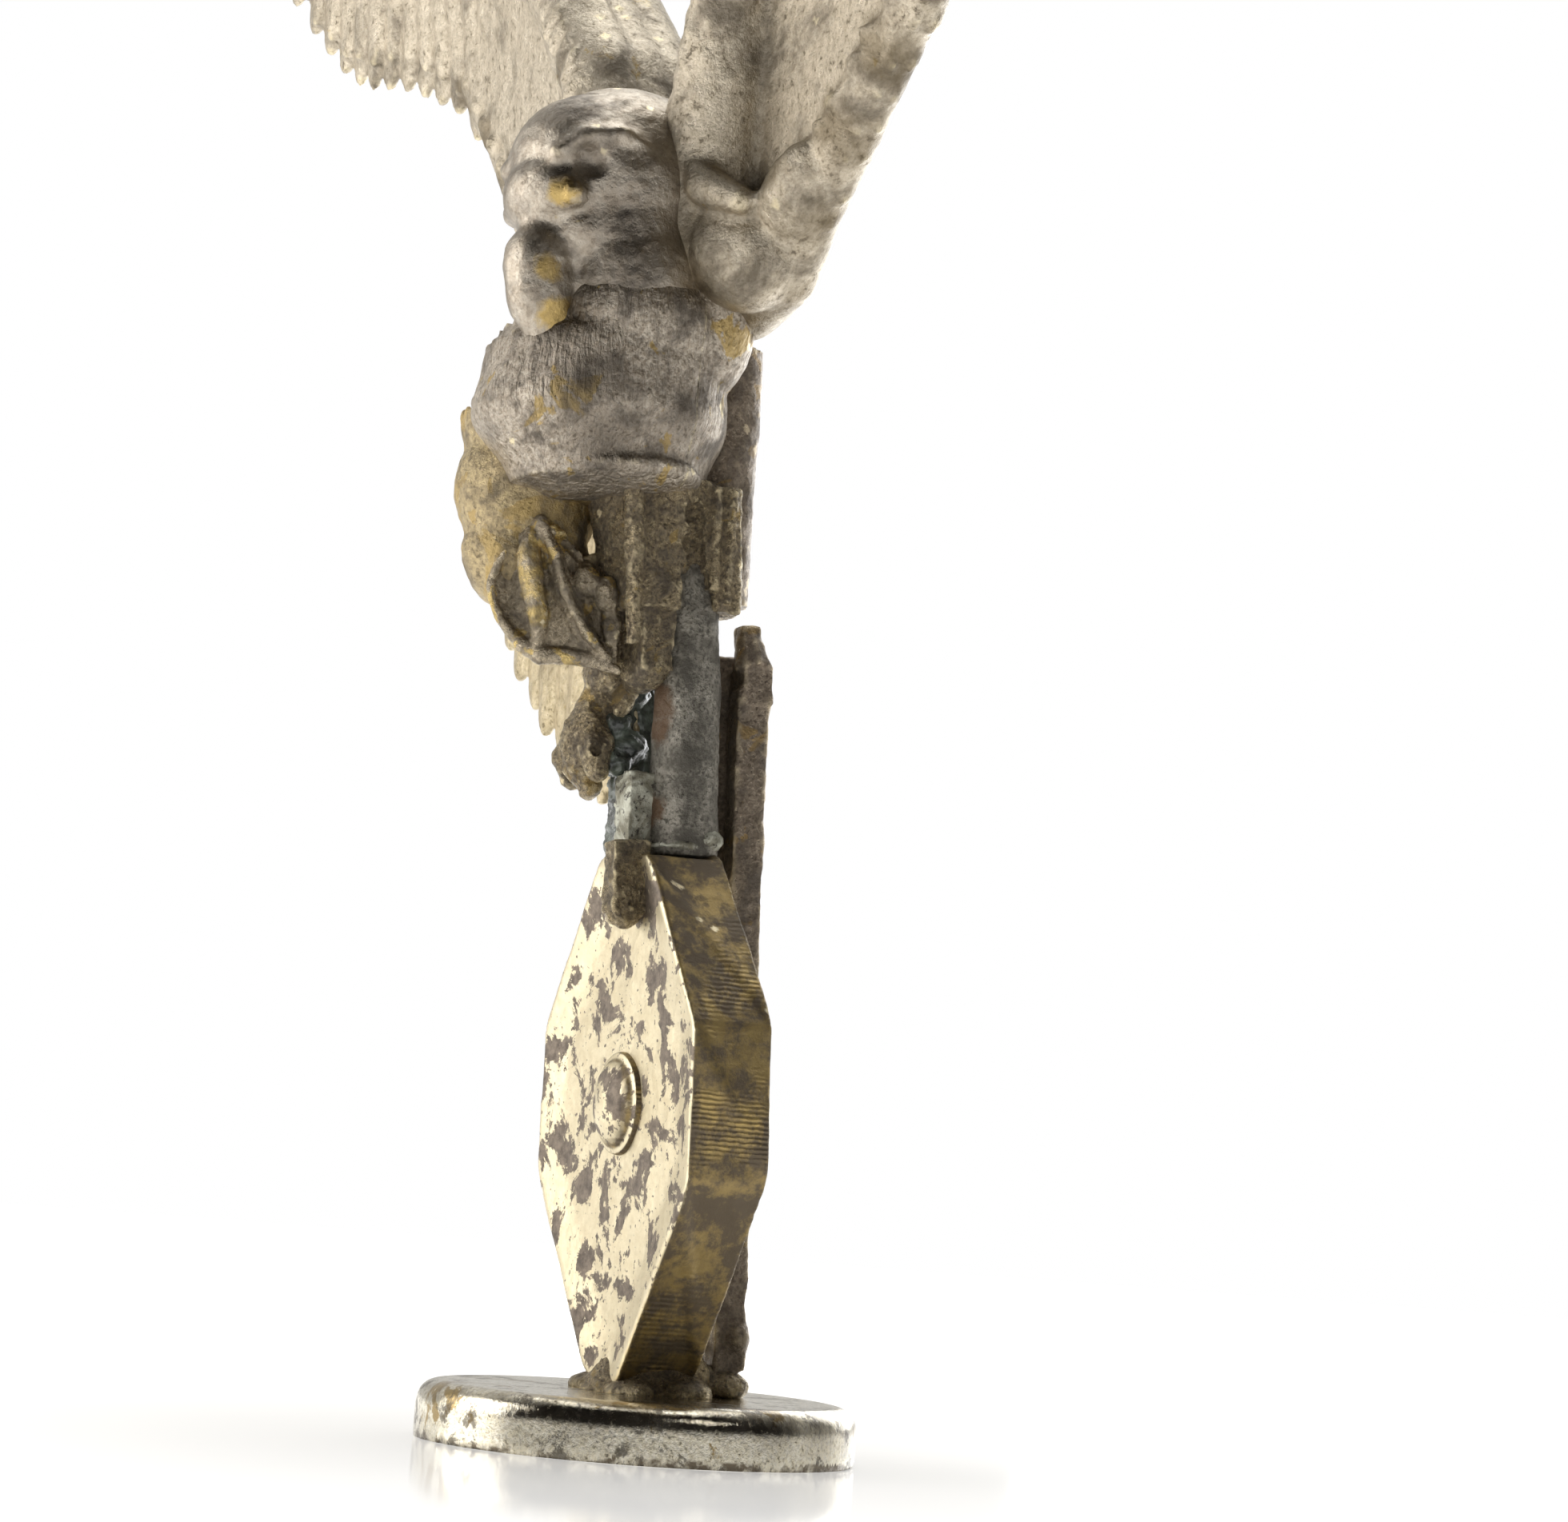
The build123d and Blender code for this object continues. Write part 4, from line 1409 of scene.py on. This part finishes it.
tuftFacing = math.radians(tuft["facing"])
tuftAxes = (
    Vector((math.cos(tuftFacing), math.sin(tuftFacing), 0)),
    Vector((0, 0, 1)),
    Vector((math.sin(tuftFacing), -math.cos(tuftFacing), 0)),
)
tuftPlace = Matrix.Translation(at(*tuft["centre"])) @ Matrix(tuftAxes).transposed().to_4x4()
tuft["brassAndHighlightSpots"] = [
    (leanMatrix @ tuftPlace @ (curvePoint(tuft["midRidge"], t) * mm), 1.7)
    for t in (0.3, 0.45, 0.6, 0.75)
]


def makeTufts(palette):
    outer = [foldedSheet(["outerRim", "outerHollow", "midRidge", "midHollow", "longRidge"], 1.4)]
    outer += chain(
        [curvePoint(tuft["longRidge"], k / 8) for k in range(9)],
        [0.8, 0.7, 0.6, 0.6, 0.55, 0.55, 0.55, 0.5, 0.45],
    )
    outer += chain(
        [curvePoint(tuft["midRidge"], k / 8) for k in range(9)],
        [0.7, 1.0, 1.2, 1.3, 1.3, 1.2, 1.1, 0.9, 0.6],
    )
    outer += chain(
        [curvePoint(tuft["outerRim"], k / 8) for k in range(9)],
        [0.7, 0.55, 0.5, 0.5, 0.5, 0.5, 0.55, 0.6, 0.7],
    )
    outer += chain(
        [(-3.2, -6.4, -0.1), (-1.4, -7.3, 0.3), (1.2, -7.3, 0.3), (4.4, -7.6, 0.4), (6.8, -8.6, 0.2)],
        [0.9, 1.0, 0.9, 0.8, 0.5],
    )
    outer.append(ball((-1.9, 6.6, 0.4), (1.2, 0.8, 1.0)))
    piece = fuse(outer, "thighTuft", 0.2, 5)
    piece.data.transform(tuftPlace)
    roughen(piece, (1.8, 0.22), (0.8, 0.06, 5.0))
    finishPiece(piece, "thighTuft", palette["tuft"], ["thigh_tuft"])
    inner = [foldedSheet(["longRidge", "innerHollow", "innerRidge", "innerEdge"], 1.4)]
    inner += [
        ball((3.2, 0.6, 1.0), (1.4, 1.6, 1.0)), ball((5.4, -0.8, 1.2), (1.3, 1.9, 1.0)),
        ball((6.0, -4.0, 0.4), (1.0, 2.2, 1.0)),
    ]
    piece = fuse(inner, "shankTuft", 0.2, 4)
    piece.data.transform(tuftPlace)
    roughen(piece, (1.5, 0.35), (0.8, 0.1, 5.0))
    finishPiece(piece, "shankTuft", palette["tuft"], ["shank_tuft"])


def makeFoot(palette):
    x = leg["x"] + 3.0
    parts = chain(
        [
            (x, -3.0, 87), (x, -3.2, 82), (x, -4.2, 79), (x, -6.0, 76), (x, -7.2, 73), (x + 0.2, -7.2, 70.6),
            (x + 0.2, -6.4, 68.4),
        ],
        [3.4, 3.3, 2.7, 2.3, 2.5, 2.2, 1.5],
    )
    parts += chain([(x + 1.6, -6.6, 73.5), (x + 3.0, -7.0, 71.6), (x + 3.4, -6.6, 69.6)], [1.9, 1.9, 1.3])
    parts += chain([(x - 1.4, -6.8, 73.5), (x - 3.0, -7.4, 71.2), (x - 3.4, -7.0, 69.2)], [1.8, 1.8, 1.2])
    parts.append(block((x + 6.6, -7.0, 54.4), (x + 9.6, -3.0, 61.8)))
    parts.append(ball((x + 8.0, -5.2, 54.6), (1.8, 2.2, 1.8)))
    parts += [ball((x + 1.6, -4.8, 80.2), (3.4, 3.2, 3.6)), ball((x + 3.8, -3.0, 82.4), (2.4, 2.4, 2.8))]
    parts += chain([(x + 3.4, -5.6, 79.6), (x + 4.0, -3.6, 77.8), (x + 3.2, -4.4, 76.0)], [0.9, 0.8, 0.8])
    piece = fuse(parts, "rightFoot", 0.28, 4)
    carve(piece, ball((x + 5.0, -7.7, 71.4), (1.3, 0.7, 0.8)))
    roughen(piece, (2.4, 0.6), (0.9, 0.14, 6.0))
    finishPiece(piece, "rightFoot", palette["rough"], ["right_foot"])
    lumps = [
        ball((x + 2.0, -3.4, 80.4), (1.8, 1.6, 1.4)),
        ball((x + 2.0, -2.6, 78.0), (1.6, 2.0, 1.5)),
        ball((x + 1.4, -4.2, 74.6), (2.2, 1.8, 1.7)),
        ball((x + 1.4, -2.8, 72.4), (2.4, 2.2, 2.0)),
        ball((x + 2.0, -4.6, 70.6), (2.2, 2.0, 1.4)),
        block((x - 1.4, -3.6, 60.8), (x + 1.6, 0.4, 83)),
    ]
    crust = fuse(lumps, "verdigrisCrust", 0.22, 1)
    roughen(crust, (1.5, 0.5), (0.7, 0.16, 3.0))
    finishPiece(crust, "verdigrisCrust", palette["verdigris"], [])


tail = {"feathers": 9, "rootX": -4.0, "tipX": -42.5, "y": -1.5}


def makeTail(palette):
    parts = []
    count = tail["feathers"]
    for i in range(count):
        t = (i + 0.5) / count
        x = tail["rootX"] + (tail["tipX"] - tail["rootX"]) * t
        tipZ = 66.0 + 24.5 * t**1.7
        topZ = 105 - 6 * t
        vane = feather(topZ - tipZ, 5.2, 1.1, 0.6)
        vane.data.transform(Matrix.Translation(at(x, tail["y"] - 0.35 * (i % 2), topZ)))
        parts.append(vane)
    parts.append(block((tail["tipX"] + 2, tail["y"] - 0.5, 97), (-3.5, tail["y"] + 0.7, 99)))
    parts += chain([(-4, -1.6, 101), (-20, -1.5, 101), (-39, -1.4, 98.5)], [3.2, 2.2, 1.2])
    piece = fuse(parts, "tailFan", 0.32, 2)
    roughen(piece, (5.0, 0.2), (1.1, 0.05, 4.0))
    finishPiece(piece, "tailFan", palette["tail"], ["tail_fan"])


# fixing hardware

thread = {"radius": 4.0, "pitch": 1.25, "depth": 0.68, "length": 27.0, "point": 2.75, "pointLength": 5.0}


def makeStud(palette):
    steps = 40
    turns = int(thread["length"] / thread["pitch"])
    root = thread["radius"] - thread["depth"]
    low = -thread["length"]
    core = limb((0, 0, low), (0, 0, 3.6), root, root, 64)
    deselectAll()
    bpy.ops.mesh.primitive_circle_add(vertices=3, radius=mm * 0.5, location=(0, 0, 0))
    profile = bpy.context.object
    half = thread["pitch"] * 0.44
    corners = [(root - 0.15, low + half), (thread["radius"], low + half), (root - 0.15, low + half)]
    heights = [-half, 0.0, half]
    for vertex, (r, z), dz in zip(profile.data.vertices, corners, heights):
        vertex.co = at(r, 0, z + dz)
    applyModifier(
        profile,
        "SCREW",
        axis="Z",
        angle=2 * math.pi * turns,
        screw_offset=thread["pitch"] * turns * mm,
        steps=steps * turns,
        render_steps=steps * turns,
        use_merge_vertices=False,
    )
    selectOnly(profile)
    inEdit(True)
    bpy.ops.mesh.select_all(action="SELECT")
    bpy.ops.mesh.fill_holes(sides=3)
    bpy.ops.mesh.normals_make_consistent(inside=False)
    inEdit(False)
    point = limb(
        (0, 0, low - thread["pointLength"] + 0.7), (0, 0, low + 0.5), thread["point"], thread["point"], 64,
    )
    tip = limb(
        (0, 0, low - thread["pointLength"]), (0, 0, low - thread["pointLength"] + 0.7), thread["point"] - 0.7,
        thread["point"], 64,
    )
    piece = joined([core, profile, point, tip], "mountingStud")
    finishPiece(
        piece, "mountingStud", palette["steel"], ["mounting_stud"], leans=False, angle=35,
    )


def makeFixings(palette):
    # the washers and the nut keep their CAD shape and get softened edges
    for node, name, bodyName in (
        ("flat_washer", "flatWasher", "washers"), ("lock_washer", "lockWasher", "washers"),
        ("hex_nut", "hexNut", "nut"),
    ):
        piece = copied(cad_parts[node], Matrix.Identity(4))
        selectOnly(piece)
        inEdit(True)
        bpy.ops.mesh.select_all(action="SELECT")
        bpy.ops.mesh.remove_doubles(threshold=0.001 * mm)
        bpy.ops.mesh.dissolve_limited(angle_limit=math.radians(1))
        inEdit(False)
        applyModifier(
            piece, "BEVEL", width=0.14 * mm, segments=2, limit_method="ANGLE", angle_limit=math.radians(30),
        )
        finishPiece(piece, name, palette["zinc"], [node], bodyName, leans=False, angle=30)


def makePins(palette):
    for node, name in (("left_wing_pin", "leftWingPin"), ("right_wing_pin", "rightWingPin")):
        low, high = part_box(node)
        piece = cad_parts[node]
        piece.data.materials.clear()
        piece.data.materials.append(palette["steel"])
        print(name, [round(v, 4) for v in (*low, *high)])


def makeFloor(palette):
    deselectAll()
    bpy.ops.mesh.primitive_plane_add(size=6.0, location=(0, 0, -0.00005))
    floor = bpy.context.object
    floor.name = "floor"
    floor.data.materials.append(palette["floor"])


makeCamera()
makeWorld()
makeLights()
bpy.context.scene.view_settings.view_transform = "Standard"
print("stage done")
palette = makeMaterials()
makeFloor(palette)
makeDisc(palette)
makePlaque(palette)
makeBaseSolder(palette)
print("base done")
makeRod(palette)
makeStrips(palette)
makeBelly(palette)
makeBody(palette)
makeHead(palette)
print("body done")
makeWings(palette)
print("wings done")
makeLeg(palette)
makeTufts(palette)
makeFoot(palette)
makeTail(palette)
print("legs and tail done")
makeStud(palette)
makeFixings(palette)
makePins(palette)
